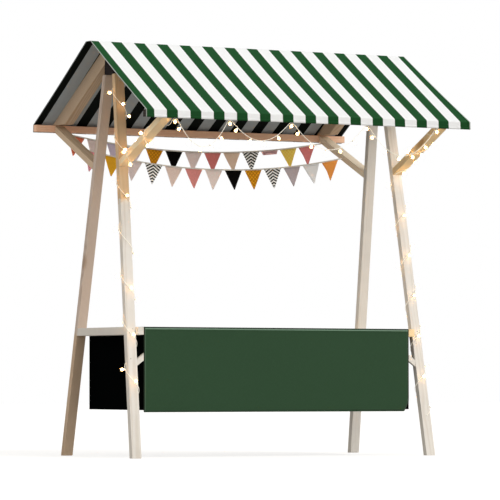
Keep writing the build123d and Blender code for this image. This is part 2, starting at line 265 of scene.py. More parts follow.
class TimberGrain(EffectGroup):
    """Growth rings, fibre and knots of sawn pine, with the grain along the vector's Z."""

    title = "Timber grain"
    takes = (("Vector", "vector"), ("Pale", "colour"), ("Ring", "colour"), ("Knot", "colour"),
             ("Ring Share", "value"))
    gives = (("Colour", "colour"), ("Height", "value"), ("Roughness", "value"))
    ring_width = 0.0078
    pith_wander = 0.030
    knot_swell = 0.011

    @classmethod
    def draw(cls, graph: Graph, given: bpy.types.bpy_prop_collection) -> dict[str, Value]:
        """Rings run round a wandering pith, fibres along the grain, knots push both aside."""
        where = given["Vector"]
        slow = graph.vector("MULTIPLY", where, (9.0, 9.0, 1.1))
        wander = graph.vector("SUBTRACT", graph.noise(slow, 1.0, 2.0, colour=True), (0.5, 0.5, 0.5))
        bent = graph.vector(
            "ADD", where, graph.vector("MULTIPLY", wander, (cls.pith_wander, cls.pith_wander, 0.0)))
        spots = graph.node("TexVoronoi")
        graph.feed(spots.inputs["Vector"], graph.vector("MULTIPLY", where, (6.5, 6.5, 2.4)))
        spots.inputs["Scale"].default_value = 1.0
        knot = graph.ramp(spots.outputs["Distance"], 0.06, 0.17, 1.0, 0.0)
        around = graph.ramp(spots.outputs["Distance"], 0.10, 0.45, 1.0, 0.0)
        radius = graph.vector("LENGTH", graph.vector("MULTIPLY", bent, (1.0, 1.0, 0.0)))
        swollen = graph.plus(radius, graph.times(around, cls.knot_swell))
        ring = graph.math("SINE", graph.times(swollen, 2 * math.pi / cls.ring_width))
        late = graph.math("POWER", graph.math("MULTIPLY_ADD", ring, 0.5, 0.5), 2.2)
        fibre = graph.noise(graph.vector("MULTIPLY", where, (420.0, 420.0, 9.0)), 1.0, 3.0)
        board = graph.noise(graph.vector("MULTIPLY", where, (5.0, 5.0, 1.3)), 1.0, 3.0)
        share = graph.times(late, given["Ring Share"])
        share = graph.plus(share, graph.times(graph.minus(fibre, 0.5), 0.35))
        share = graph.plus(share, graph.times(graph.minus(board, 0.45), 0.5))
        clear = graph.mix(graph.ramp(share, -0.10, 0.85), given["Pale"], given["Ring"])
        colour = graph.mix(graph.times(knot, 0.8), clear, given["Knot"])
        height = graph.plus(graph.times(fibre, 0.6), graph.times(late, -0.35))
        height = graph.plus(height, graph.times(knot, 0.5))
        return {"Colour": colour, "Height": height, "Roughness": graph.ramp(fibre, 0.3, 0.7, 0.58, 0.74)}


class ClothWeave(EffectGroup):
    """Plain weave of crossing threads, from a flat vector in metres."""

    title = "Cloth weave"
    takes = (("Vector", "vector"), ("Threads", "value"))
    gives = (("Height", "value"), ("Shade", "value"))

    @classmethod
    def draw(cls, graph: Graph, given: bpy.types.bpy_prop_collection) -> dict[str, Value]:
        """Warp and weft waves whose phases cross, with uneven slubs along them."""
        where = given["Vector"]
        turn = graph.times(given["Threads"], 2 * math.pi)
        warp, weft = (graph.math("SINE", graph.times(part, turn)) for part in graph.parts(where)[:2])
        slub, cross = (
            graph.noise(graph.vector("MULTIPLY", where, stretch), 1.0)
            for stretch in ((900.0, 60.0, 1.0), (60.0, 900.0, 1.0)))
        threads = graph.times(graph.plus(slub, cross), 0.5)
        height = graph.math("MULTIPLY_ADD", graph.times(warp, weft), 0.5, threads)
        return {"Height": height, "Shade": graph.ramp(threads, 0.35, 0.65)}


class SoilMottle(EffectGroup):
    """Uneven fading and soiling: a value round 1 that colours are multiplied by."""

    title = "Soil mottle"
    takes = (("Vector", "vector"), ("Amount", "value"))
    gives = (("Shade", "value"),)

    @classmethod
    def draw(cls, graph: Graph, given: bpy.types.bpy_prop_collection) -> dict[str, Value]:
        """Two sizes of cloudy noise."""
        wide = graph.noise(given["Vector"], 2.3, 3.0)
        close = graph.noise(given["Vector"], 17.0, 4.0)
        both = graph.plus(graph.times(wide, 0.6), graph.times(close, 0.4))
        dip = graph.times(graph.minus(both, 0.5), given["Amount"])
        return {"Shade": graph.plus(dip, 1.0)}


# ---------------------------------------------------------------- finishes


class Finish:
    """A finish: builds its material once for each name."""

    def material(self, name: str) -> bpy.types.Material:
        """Makes a material with a Principled shader, drawn by the finish.

        Args:
            name: The material's name.

        Returns:
            The material.
        """
        made = bpy.data.materials.new(name)
        made.use_nodes = True
        self.draw(Graph(made.node_tree), made.node_tree.nodes["Principled BSDF"])
        return made

    @staticmethod
    def weave(graph: Graph, shader: bpy.types.Node, threads: float, relief: float) -> tuple[Socket, Socket]:
        """Feeds the relief of a weave to a cloth's shader.

        Args:
            graph: The material's nodes.
            shader: Its Principled shader.
            threads: Threads to the metre.
            relief: Strength of the relief.

        Returns:
            The flat place on the cloth, and the shade of its raised threads.
        """
        flat = graph.where("UV")
        made = graph.group(ClothWeave.tree(), Vector=flat, Threads=threads)
        graph.feed(shader.inputs["Normal"], graph.bump(made.outputs["Height"], relief, 0.0003))
        return flat, made.outputs["Shade"]

    def draw(self, graph: Graph, shader: bpy.types.Node) -> None:
        """Draws the finish into a material's graph."""
        raise NotImplementedError


@dataclass(frozen=True)
class PineFinish(Finish):
    """Planed softwood with its grain along one direction."""

    along: Vector
    centre: Vector
    pale: Colour = srgb(223, 217, 208)
    ring: Colour = srgb(212, 203, 190)
    knot: Colour = srgb(150, 112, 80)
    ring_share: float = 0.45
    turn: float = 0.0
    # Painted light and shade band: the heights over which it sets in, and the tone that the colour above them is
    # multiplied by.
    painted_light_band: tuple[tuple[float, float], Colour] | None = None

    def draw(self, graph: Graph, shader: bpy.types.Node) -> None:
        """Turns the grain along the timber, and multiplies the colour above a height by a tone: painted shade
        where the tone is below 1, painted light where it is above.
        """
        along = self.along.normalized()
        side = along.cross(Vector((0.31, 0.77, 0.21))).normalized()
        side = Matrix.Rotation(self.turn, 3, along) @ side
        basis = Matrix((side, along.cross(side), along))
        mapping = graph.node("Mapping", vector_type="POINT")
        mapping.inputs["Rotation"].default_value = basis.to_euler()
        pith = Vector((0.045 * math.cos(self.turn * 7), 0.05, 0.37 * self.turn))
        mapping.inputs["Location"].default_value = pith - basis @ self.centre
        place = graph.where()
        graph.feed(mapping.inputs["Vector"], place)
        grain = graph.group(
            TimberGrain.tree(), Vector=mapping.outputs[0], Pale=self.pale, Ring=self.ring, Knot=self.knot,
            Ring_Share=self.ring_share)
        colour = graph.soiled(grain.outputs["Colour"], place, 0.22)
        # Painted light and shade: above the band the colour is multiplied by its tone, darker under the canopy and
        # brighter where it stands for light.
        if self.painted_light_band:
            levels, tone = self.painted_light_band
            height = graph.plus(graph.parts(place)[2], graph.times(graph.noise(place, 14.0), 0.12))
            colour = graph.mix(graph.ramp(height, *levels), colour, tone, "MULTIPLY")
        graph.feed(shader.inputs["Base Color"], colour)
        graph.feed(shader.inputs["Roughness"], grain.outputs["Roughness"])
        graph.feed(shader.inputs["Normal"], graph.bump(grain.outputs["Height"], 0.35, 0.0006))
        shader.inputs["Specular IOR Level"].default_value = 0.12


@dataclass(frozen=True)
class StripedCloth(Finish):
    """Woven canopy cloth with dyed stripes across its length, from a UV in metres."""

    green: Colour = srgb(30, 76, 41)
    white: Colour = srgb(234, 235, 235)
    pitch: float = 0.1553
    green_width: float = 0.0725
    half_length: float = 1.105
    valance: float = 0.0453
    length: float = 1.84
    selvedge: float = 0.005
    # Painted shade on the valances: what their green and white stripes are multiplied by.
    valance_painted_shade: tuple[Colour, Colour] = ((0.93, 0.92, 0.91), (0.78, 0.78, 0.72))

    def draw(self, graph: Graph, shader: bpy.types.Node) -> None:
        """Stripes with slightly soft edges, a pale selvedge at both ends and painted shade darkening the valances.
        """
        flat, raised = self.weave(graph, shader, 620.0, 0.25)
        across, along, _ = graph.parts(flat)
        shifted = graph.plus(across, self.pitch / 2)
        phase = graph.minus(graph.math("FLOORED_MODULO", shifted, self.pitch), self.pitch / 2)
        stripe = graph.edge(graph.math("ABSOLUTE", phase), self.green_width / 2, 0.0006)
        from_middle = graph.math("ABSOLUTE", across)
        edging = graph.edge(from_middle, self.half_length - self.selvedge, 0.001, 0.0, 0.55)
        edged = graph.mix(edging, graph.mix(stripe, self.white, self.green), self.white)
        threaded = graph.mix(graph.times(raised, 0.10), edged, graph.mix(1.0, edged, edged, "MULTIPLY"))
        from_hem = graph.math("MINIMUM", along, graph.minus(self.length, along))
        hung = graph.edge(from_hem, self.valance, 0.003)
        clean = graph.soiled(threaded, flat, 0.10)
        # Painted shade: the hanging valances are darker than the slopes.
        valance_painted_shade = graph.mix(stripe, *self.valance_painted_shade)
        graph.feed(shader.inputs["Base Color"], graph.mix(hung, clean, valance_painted_shade, "MULTIPLY"))
        shader.inputs["Roughness"].default_value = 0.85
        shader.inputs["Specular IOR Level"].default_value = 0.05


@dataclass(frozen=True)
class PlainCloth(Finish):
    """Plain dyed cloth, from a UV in metres."""

    colour: Colour
    threads: float = 900.0
    mottle: float = 0.12
    sheen: float = 0.1
    gloss: float = 0.12

    def draw(self, graph: Graph, shader: bpy.types.Node) -> None:
        """Weave, slightly lighter raised threads and uneven fading."""
        flat, raised = self.weave(graph, shader, self.threads, 0.3)
        lighter = tuple(min(1.0, level * 1.22) for level in self.colour)
        threaded = graph.mix(raised, self.colour, lighter)
        graph.feed(shader.inputs["Base Color"], graph.soiled(threaded, flat, self.mottle))
        shader.inputs["Roughness"].default_value = 0.9
        shader.inputs["Specular IOR Level"].default_value = self.gloss
        shader.inputs["Sheen Weight"].default_value = self.sheen


@dataclass(frozen=True)
class BoundCloth(PlainCloth):
    """Plain cloth with a dark binding round its edges, a painted highlight on the fold along its top, a paler
    strip along its left edge and painted shade at its hem.
    """

    half_length: float = 0.9146
    height: float = 0.5063
    binding: float = 0.0066
    fold: float = 0.0135
    bound: Colour = srgb(28, 40, 28)
    # Colour of the painted highlight on the rolled top fold, also used for the paler strip along the left edge.
    fold_highlight: Colour = srgb(112, 138, 118)

    def draw(self, graph: Graph, shader: bpy.types.Node) -> None:
        """Draws the plain cloth, then the painted highlight along its top fold, the paler strip along its left
        edge, and the binding with the painted hem shade over it.
        """
        super().draw(graph, shader)
        plain = shader.inputs["Base Color"].links[0].from_socket
        across, along, _ = graph.parts(graph.where("UV"))
        left, right = graph.plus(across, self.half_length), graph.minus(self.half_length, across)
        top = graph.math("ABSOLUTE", graph.minus(self.height, along))
        # Painted highlight where the rolled top fold catches the light, and a weaker paler strip along the left
        # edge.
        top_highlight = graph.edge(top, self.fold, 0.001, 0.9)
        pale_left = graph.edge(left, self.fold, 0.001, 0.25)
        highlighted = graph.mix(graph.math("MAXIMUM", top_highlight, pale_left), plain, self.fold_highlight)
        near = graph.math("MINIMUM", graph.math("MINIMUM", left, right), top)
        bound = graph.edge(near, self.binding, 0.0006)
        # Painted shade along the lower hem, mixed towards the binding's colour.
        low = graph.edge(along, self.fold, 0.001, 0.35)
        edging = graph.math("MAXIMUM", bound, low)
        graph.feed(shader.inputs["Base Color"], graph.mix(edging, highlighted, self.bound))


class Pattern(Enum):
    """How a pennant's cotton is printed."""

    PLAIN = "plain"
    CHEVRON = "chevron"
    CHECK = "check"


@dataclass(frozen=True)
class PennantCotton(Finish):
    """Cotton of one pennant, from a UV in metres with its origin at the middle of the tape."""

    colour: Colour
    second: Colour
    pattern: Pattern
    chevron: float = 0.0198
    chevron_slope: float = 0.62
    check: float = 0.024
    check_gap: float = 0.01625

    def draw(self, graph: Graph, shader: bpy.types.Node) -> None:
        """Prints the pattern over the weave."""
        flat, raised = self.weave(graph, shader, 1100.0, 0.3)
        across, down, _ = graph.parts(flat)
        if self.pattern is Pattern.CHEVRON:
            slope = graph.times(graph.math("ABSOLUTE", across), self.chevron_slope)
            band = graph.math("FLOORED_MODULO", graph.minus(down, slope), self.chevron)
            printed = graph.mix(graph.ramp(band, 0.0092, 0.0099), self.second, self.colour)
        elif self.pattern is Pattern.CHECK:
            column, row = (
                graph.edge(graph.math("FLOORED_MODULO", way, self.check), self.check_gap, 0.00075, 0.0, 1.0)
                for way in (graph.plus(down, across), graph.minus(down, across)))
            printed = graph.mix(graph.math("MAXIMUM", column, row), self.colour, self.second)
        else:
            printed = self.colour
        lifted = graph.mix(1.0, printed, (1.3, 1.3, 1.3), "MULTIPLY")
        graph.feed(shader.inputs["Base Color"], graph.soiled(graph.mix(raised, printed, lifted), flat, 0.16))
        shader.inputs["Roughness"].default_value = 0.88
        shader.inputs["Specular IOR Level"].default_value = 0.05


@dataclass(frozen=True)
class LampShell(Finish):
    """Thin tinted shell of a lamp, seen through."""

    tint: Colour = srgb(236, 206, 160)

    def draw(self, graph: Graph, shader: bpy.types.Node) -> None:
        """Gives the shell an uneven tint."""
        place = graph.where()
        ripple = graph.noise(place, 120.0, 2.0)
        graph.feed(shader.inputs["Base Color"], graph.mix(ripple, self.tint, srgb(246, 226, 192)))
        shader.inputs["Alpha"].default_value = 0.38
        shader.inputs["Roughness"].default_value = 0.12
        shader.inputs["Emission Color"].default_value = (*srgb(255, 214, 150), 1.0)
        shader.inputs["Emission Strength"].default_value = 0.35


@dataclass(frozen=True)
class PlainSheath(Finish):
    """Moulded sheath of a cable or lamp holder."""

    colour: Colour = srgb(244, 239, 226)
    # Strength of an even emission: painted lamp light on the sheath.
    glow: float = 0.0

    def draw(self, graph: Graph, shader: bpy.types.Node) -> None:
        """Makes a satin plastic, with an even faint emission as painted lamp light where the glow is set."""
        place = graph.where()
        graph.feed(shader.inputs["Base Color"], graph.soiled(self.colour, place, 0.15))
        marks = graph.noise(place, 220.0, 3.0)
        graph.feed(shader.inputs["Roughness"], graph.ramp(marks, 0.3, 0.7, 0.38, 0.52))
        # Painted lamp light: the sheath glows evenly all over.
        shader.inputs["Emission Color"].default_value = (*srgb(255, 246, 230), 1.0)
        shader.inputs["Emission Strength"].default_value = self.glow


@dataclass(frozen=True)
class LampGlow(Finish):
    """Frosted core of a lit lamp."""

    glass: Colour = (1.0, 0.76, 0.46)
    glow: Colour = (1.0, 0.60, 0.26)
    strength: float = 20.0

    def draw(self, graph: Graph, shader: bpy.types.Node) -> None:
        """Glow that is uneven over the frosting."""
        place = graph.where()
        frost = graph.noise(place, 160.0, 2.0)
        lit = graph.mix(graph.ramp(frost, 0.3, 0.7), self.glow, self.glass)
        shader.inputs["Base Color"].default_value = (*self.glass, 1.0)
        graph.feed(shader.inputs["Emission Color"], lit)
        shader.inputs["Emission Strength"].default_value = self.strength
        shader.inputs["Roughness"].default_value = 0.35


@dataclass(frozen=True)
class ZincSteel(Finish):
    """Zinc-plated screw or staple."""

    colour: Colour = srgb(150, 140, 122)

    def draw(self, graph: Graph, shader: bpy.types.Node) -> None:
        """Dull metal with a patchy roughness."""
        place = graph.where()
        patch = graph.noise(place, 900.0, 2.0)
        graph.feed(shader.inputs["Base Color"], graph.mix(patch, self.colour, srgb(196, 190, 176)))
        shader.inputs["Metallic"].default_value = 1.0
        graph.feed(shader.inputs["Roughness"], graph.ramp(patch, 0.3, 0.7, 0.32, 0.5))


# ---------------------------------------------------------------- meshes


class MeshShop:
    """Makes mesh objects from vertices and faces, and puts them on the stall."""

    body = "root"

    @staticmethod
    def piece(
        name: str,
        vertices: Iterable[Sequence[float]],
        faces: Iterable[Sequence[int]],
        materials: Sequence[bpy.types.Material],
        smooth: bool = True,
        indices: Sequence[int] | None = None,
        uvs: Sequence[Sequence[float]] | None = None,
    ) -> bpy.types.Object:
        """Makes one object.

        Args:
            name: Its name.
            vertices: Its points, in metres.
            faces: Vertex numbers of each face.
            materials: Its material slots.
            smooth: Whether its faces shade smooth.
            indices: Material slot of each face.
            uvs: Flat place of each vertex, in metres.

        Returns:
            The object, linked to the scene.
        """
        mesh = bpy.data.meshes.new(name)
        mesh.from_pydata([tuple(point) for point in vertices], [], [tuple(face) for face in faces])
        for material in materials:
            mesh.materials.append(material)
        if indices is not None:
            mesh.polygons.foreach_set("material_index", indices)
        mesh.polygons.foreach_set("use_smooth", [smooth] * len(mesh.polygons))
        if uvs is not None:
            layer = mesh.uv_layers.new(name="Flat")
            for loop in mesh.loops:
                layer.data[loop.index].uv = uvs[loop.vertex_index][:2]
        mesh.update()
        mesh.update()
        return MeshShop.linked(name, mesh)

    @staticmethod
    def linked(name: str, data: bpy.types.ID) -> bpy.types.Object:
        """Makes an object of its data and links it to the scene."""
        made = bpy.data.objects.new(name, data)
        bpy.context.scene.collection.objects.link(made)
        return made

    @classmethod
    def mount(cls, made: bpy.types.Object, slot: str, *nodes: str) -> bpy.types.Object:
        """Rides a piece on the stall and hides what it replaces.

        Args:
            made: The piece.
            slot: Not used.
            nodes: CAD nodes that it stands for.

        Returns:
            The piece.
        """
        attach(made, cls.body)
        if nodes:
            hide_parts(*nodes)
        log.info("%s: %s", made.name, ", ".join(nodes) or "added")
        return made

    @staticmethod
    def thicken(made: bpy.types.Object, thickness: float, offset: float = 1.0, **settings: object) -> None:
        """Gives a flat cloth its thickness and applies it to the mesh.

        Args:
            made: The cloth.
            thickness: Its thickness.
            offset: 1 puts it all on the side that the faces look to, 0 half on each side.
            settings: Further settings of the thickness.
        """
        solid = made.modifiers.new("Thickness", "SOLIDIFY")
        for name, value in {"thickness": thickness, "offset": offset, **settings}.items():
            setattr(solid, name, value)
        graph = bpy.context.evaluated_depsgraph_get()
        mesh = bpy.data.meshes.new_from_object(made.evaluated_get(graph))
        made.modifiers.clear()
        made.data = mesh


def grid_faces(rows: int, columns: int, start: int = 0) -> list[tuple[int, ...]]:
    """Quads of a grid of points.

    Args:
        rows: Number of rows.
        columns: Number of points in a row.
        start: Number of the first point; the others follow row by row.

    Returns:
        The point numbers of each quad.
    """
    return [
        (corner, corner + 1, corner + columns + 1, corner + columns)
        for row in range(rows - 1)
        for corner in range(start + row * columns, start + (row + 1) * columns - 1)]


def ring_faces(start: int, rings: int, sides: int) -> list[tuple[int, ...]]:
    """Quads between rings of points.

    Args:
        start: Number of the first point; the others follow ring by ring.
        rings: Number of rings.
        sides: Number of points in a ring.

    Returns:
        The point numbers of each quad.
    """
    return [
        (base + step, base + (step + 1) % sides, base + sides + (step + 1) % sides, base + sides + step)
        for base in range(start, start + (rings - 1) * sides, sides) for step in range(sides)]


def ring_points(radius: float, sides: int, height: float) -> list[Vector]:
    """Points of a level ring round the origin, from +X on."""
    angles = [2 * math.pi * step / sides for step in range(sides)]
    return [Vector((radius * math.cos(angle), radius * math.sin(angle), height)) for angle in angles]


class Patches:
    """Grids of points that make up one cloth, each point with its flat place."""

    def __init__(self) -> None:
        """Starts without any grid."""
        self.vertices, self.faces, self.indices, self.uvs = [], [], [], []

    def add(self, rows: Sequence[Sequence[Stitch]], slot: int = 0, turned: bool = False) -> None:
        """Adds a grid of points.

        Args:
            rows: The points with their flat places, row by row.
            slot: Their material slot.
            turned: Whether the faces look the other way.
        """
        faces = grid_faces(len(rows), len(rows[0]), len(self.vertices))
        self.faces.extend([(first, *others[::-1]) for first, *others in faces] if turned else faces)
        self.indices.extend([slot] * len(faces))
        for place, flat in (point for row in rows for point in row):
            self.vertices.append(place)
            self.uvs.append(flat)

    def piece(self, name: str, materials: Sequence[bpy.types.Material]) -> bpy.types.Object:
        """Makes one object of all the grids."""
        return MeshShop.piece(name, self.vertices, self.faces, materials, indices=self.indices, uvs=self.uvs)


class ClothGrid:
    """A cloth as a grid of points with their flat places, given a thickness."""

    def __init__(self, columns: Sequence[float], rows: Sequence[float]) -> None:
        """Keeps the flat places of the grid's points, in metres and row by row, and its quads."""
        self.flat = [(across, along) for along in rows for across in columns]
        self.faces = grid_faces(len(rows), len(columns))

    def build(
        self,
        name: str,
        place: Callable[[float, float], Vector],
        outside: bpy.types.Material,
        thickness: float,
        inside: bpy.types.Material | None = None,
        keep: Callable[[float, float], bool] | None = None,
        turned: bool = False,
    ) -> bpy.types.Object:
        """Builds the cloth with its thickness on the side that its faces look to.

        Args:
            name: The piece's name.
            place: The cloth's inner side at a flat place.
            outside: Material of its outer side.
            thickness: Its thickness.
            inside: Material of its inner side, where that differs.
            keep: Whether the cloth is there at the flat middle of a quad; everywhere if left out.
            turned: Whether its faces look the other way, away from +X or +Z.

        Returns:
            The cloth.
        """
        faces, flat = self.faces, self.flat
        if keep:
            faces = [
                face for face in faces
                if keep((flat[face[0]][0] + flat[face[2]][0]) / 2, (flat[face[0]][1] + flat[face[2]][1]) / 2)]
        if turned:
            faces = [face[::-1] for face in faces]
        points = [place(across, along) for across, along in flat]
        made = MeshShop.piece(name, points, faces, [outside, inside or outside], uvs=flat)
        MeshShop.thicken(made, thickness, use_even_offset=True, material_offset=1)
        return made


def stations(marks: Sequence[float], steps: Sequence[int]) -> list[float]:
    """Grid places over several stretches.

    Args:
        marks: Where the stretches begin and end.
        steps: Number of steps of each stretch.

    Returns:
        The places, each once, in order.
    """
    places = [marks[0]]
    for first, last, count in zip(marks, marks[1:], steps):
        places.extend(first + (last - first) * step / count for step in range(1, count + 1))
    return places


class RoundedPath:
    """A flat line of straight stretches with rounded corners, found by length along it."""

    def __init__(self, corners: Sequence[tuple[float, float]], radius: float) -> None:
        """Keeps the corners as flat vectors, and the radius of each bend."""
        self.corners = [Vector(corner) for corner in corners]
        self.radius = radius
        self.marks = [0.0]
        for first, last in zip(self.corners, self.corners[1:]):
            self.marks.append(self.marks[-1] + (last - first).length)

    @property
    def length(self) -> float:
        """Length of the line with square corners."""
        return self.marks[-1]

    def at(self, along: float) -> tuple[Vector, Vector]:
        """Place and direction at a length along the line.

        Args:
            along: The length from the line's start.

        Returns:
            The place, and the unit direction there.
        """
        for number in range(1, len(self.corners) - 1):
            reach = self.radius
            if abs(along - self.marks[number]) < reach:
                share = (along - self.marks[number] + reach) / (2 * reach)
                corner = self.corners[number]
                before = corner + (self.corners[number - 1] - corner).normalized() * reach
                after = corner + (self.corners[number + 1] - corner).normalized() * reach
                place = before * (1 - share) ** 2 + corner * 2 * share * (1 - share) + after * share ** 2
                way = (corner - before) * (1 - share) + (after - corner) * share
                return place, way.normalized()
        number = max(index for index, mark in enumerate(self.marks[:-1]) if along >= mark or index == 0)
        way = (self.corners[number + 1] - self.corners[number]).normalized()
        return self.corners[number] + way * (along - self.marks[number]), way


# ---------------------------------------------------------------- the stall's own sizes


@dataclass(frozen=True)
class Trusses:
    """Sizes that the trusses give to what hangs on them, as the part has them."""

    half_span: float = 1.015
    lean: float = math.radians(1.98)
    thickness: float = 0.062
    leg_depth: float = 0.038
    leg_spread: float = 0.464
    leg_top_gap: float = 0.062
    leg_top: float = 2.305
    strut_depth: float = 0.038
    strut_foot: float = 1.740
    strut_tip: float = 1.9945
    strut_reach: float = 0.725

    @property
    def leg_slope(self) -> float:
        """How far a leg comes in towards the middle for each metre up."""
        return (self.leg_spread - self.leg_top_gap) / self.leg_top

    @property
    def leg_half(self) -> float:
        """Half of a leg's depth, measured level."""
        return self.leg_depth / 2 * math.hypot(1, self.leg_slope)

    @property
    def half_width(self) -> float:
        """Half of a timber's thickness, measured level."""
        return self.thickness / 2 / math.cos(self.lean)

    def x(self, height: float) -> float:
        """Distance of a truss's centre plane from the middle at a height."""
        return self.half_span - height * math.tan(self.lean)

    def leg_y(self, height: float) -> float:
        """Distance of a leg's centre line from the middle plane at a height."""
        return self.leg_spread - self.leg_slope * height

    def leg(self, end: int, side: int) -> Axis:
        """Centre line of a leg by height, its depth direction and half depth."""
        def centre(height: float) -> Vector:
            """Point of the leg's centre line at a height."""
            return Vector((end * self.x(height), side * self.leg_y(height), height))
        return centre, Vector((0, side, 0)), self.leg_half

    def strut(self, end: int, side: int) -> Axis:
        """Centre line of a strut by length from its foot, its downward direction and half depth."""
        foot = self.leg_y(self.strut_foot) + self.leg_half
        angle = math.atan2(self.strut_tip - self.strut_foot, self.strut_reach - foot)
        start = Vector((foot - self.strut_depth / 2 * math.sin(angle),
                        self.strut_foot + self.strut_depth / 2 * math.cos(angle)))

        def centre(along: float) -> Vector:
            """Point of the strut's centre line at a length from its foot."""
            height = start.y + along * math.sin(angle)
            return Vector((end * self.x(height), side * (start.x + along * math.cos(angle)), height))
        return centre, Vector((0, side * math.sin(angle), -math.cos(angle))), self.strut_depth / 2


# ---------------------------------------------------------------- timber


@dataclass
class TimberFrame:
    """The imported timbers: their grain, worn arrises and screws."""

    trusses: Trusses
    nodes: dict[str, bpy.types.Object]
    arris: float = 0.0022
    board_count: int = 5
    board_gap: float = 0.003
    screw_radius: float = 0.0042
    rafter_run: float = 0.735
    rafter_fall: float = 0.458
    brace_rise: float = 0.74
    board_arris: float = 0.0018
    board_pale: Colour = srgb(226, 204, 172)
    screw_sides: int = 16
    screw_rings: tuple[tuple[float, float], ...] = (
        (1.0, -0.0012), (1.0, 0.0001), (0.86, 0.0005), (0.45, 0.0006), (0.45, -0.0008))
    cross_share: float = 0.55
    leg_screws: tuple[tuple[float, float], ...] = ((0.742, -0.35), (0.765, 0.35))
    brace_screws: tuple[float, float] = (0.588, 0.690)
    strut_screws: tuple[tuple[float, float], ...] = ((0.012, 0.02), (-0.012, 0.05))
    strut_screw_drop: float = 0.016
    head_screws: tuple[float, float] = (2.262, 2.285)
    rafter_screws: tuple[float, float] = (0.705, 0.717)
    rafter_screw_face: float = 2.060
    rafter_screw_height: float = 2.062
    ridge_screws: tuple[tuple[float, float], ...] = ((2.420, 0.075), (2.392, 0.095))
    # Painted light and shade by timber: the upper left front leg is darker and warmer as shade under the canopy,
    # and the upper left rear and right front legs are brighter as painted light.
    painted_light_band: dict[str, tuple[tuple[float, float], Colour]] = field(default_factory=lambda: {
        "leg_left_front": ((1.58, 1.60), srgb(240, 214, 180)),
        "leg_left_rear": ((0.80, 0.83), (1.04, 1.14, 1.36)),
        "leg_right_front": ((1.66, 1.80), (1.30, 1.29, 1.27))})
    # Tones by timber: the near-black truss_head and eave_beam_front are painted deep shade, the golden front and
    # right struts and counter_bearer_right are painted lamp light, and the others are partly wood that differs
    # piece to piece and partly painted warm shade under the canopy.
    wood_and_painted_light_tones: dict[str, tuple[Colour, Colour, Colour]] = field(default_factory=lambda: {
        # Painted deep shade: the truss heads under the ridge are near black.
        "truss_head": (srgb(24, 16, 15), srgb(17, 11, 10), srgb(9, 6, 5)),
        # Partly wood that differs piece to piece, partly painted warm shade under the canopy: the rear left leg,
        # rafters, rear eave beam and rear left strut.
        "leg_left_rear": (srgb(206, 181, 154), srgb(179, 150, 122), srgb(168, 136, 106)),
        "rafter": (srgb(210, 186, 159), srgb(184, 152, 123), srgb(120, 80, 54)),
        # Painted shade: the front eave beam is near black.
        "eave_beam_front": (srgb(48, 40, 34), srgb(38, 31, 26), srgb(26, 20, 17)),
        "eave_beam": (srgb(255, 210, 178), srgb(234, 174, 140), srgb(150, 94, 64)),
        "strut_left_rear": (srgb(214, 190, 162), srgb(194, 164, 130), srgb(136, 94, 60)),
        # Painted lamp light: golden tones on the front and right struts and the right counter bearer.
        "strut_left_front": (srgb(255, 232, 192), srgb(246, 208, 158), srgb(172, 124, 78)),
        "strut_right_front": (srgb(255, 228, 180), srgb(248, 208, 152), srgb(212, 164, 110)),
        "strut_right": (srgb(255, 238, 212), srgb(250, 222, 186), srgb(206, 166, 126)),
        "counter_bearer_right": (srgb(252, 224, 174), srgb(240, 200, 144), srgb(168, 120, 70)),
        "": (PineFinish.pale, PineFinish.ring, PineFinish.knot)})
    random: random.Random = field(default_factory=lambda: random.Random(41))

    def direction(self, name: str) -> Vector:
        """Direction of a timber's grain, from its name."""
        left = -1 if "left" in name else 1
        front = -1 if "front" in name else 1
        if name.startswith("leg_"):
            centre, _, _ = self.trusses.leg(left, front)
            return centre(1.0) - centre(0.0)
        if name.startswith("strut_"):
            centre, _, _ = self.trusses.strut(left, front)
            return centre(1.0) - centre(0.0)
        if name.startswith("rafter_"):
            return Vector((0.0, front * self.rafter_run, -self.rafter_fall))
        if name.startswith("counter_brace"):
            return Vector((-left, 0.0, self.brace_rise))
        if name.startswith(("eave_beam", "ridge_beam", "counter_rail", "counter_top")):
            return Vector((1.0, 0.0, 0.0))
        return Vector((0.0, 1.0, 0.0))

    def dress(self, name: str) -> None:
        """Gives one packed timber its grain and rounds its arrises."""
        timber = self.nodes[name]
        low, high = (Vector(corner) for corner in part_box(name))
        tone = self.random.uniform(0.95, 1.04)
        pale, ring, knot = next(looks for start, looks in self.wood_and_painted_light_tones.items() if name.startswith(start))
        finish = PineFinish(
            along=self.direction(name), centre=(low + high) / 2,
            pale=tuple(min(1.0, level * tone) for level in pale), ring=ring, knot=knot,
            turn=self.random.uniform(0.0, 6.0), ring_share=self.random.uniform(0.3, 0.6),
            painted_light_band=self.painted_light_band.get(name))
        timber.data.materials.clear()
        timber.data.materials.append(finish.material("pine " + name))
        weld = timber.modifiers.new("Weld", "WELD")
        weld.merge_threshold = 0.00002
        bevel = timber.modifiers.new("Arris", "BEVEL")
        bevel.width, bevel.segments, bevel.limit_method = self.arris, 2, "ANGLE"
        bevel.angle_limit = math.radians(25)
        log.info("%s: pine grain", name)

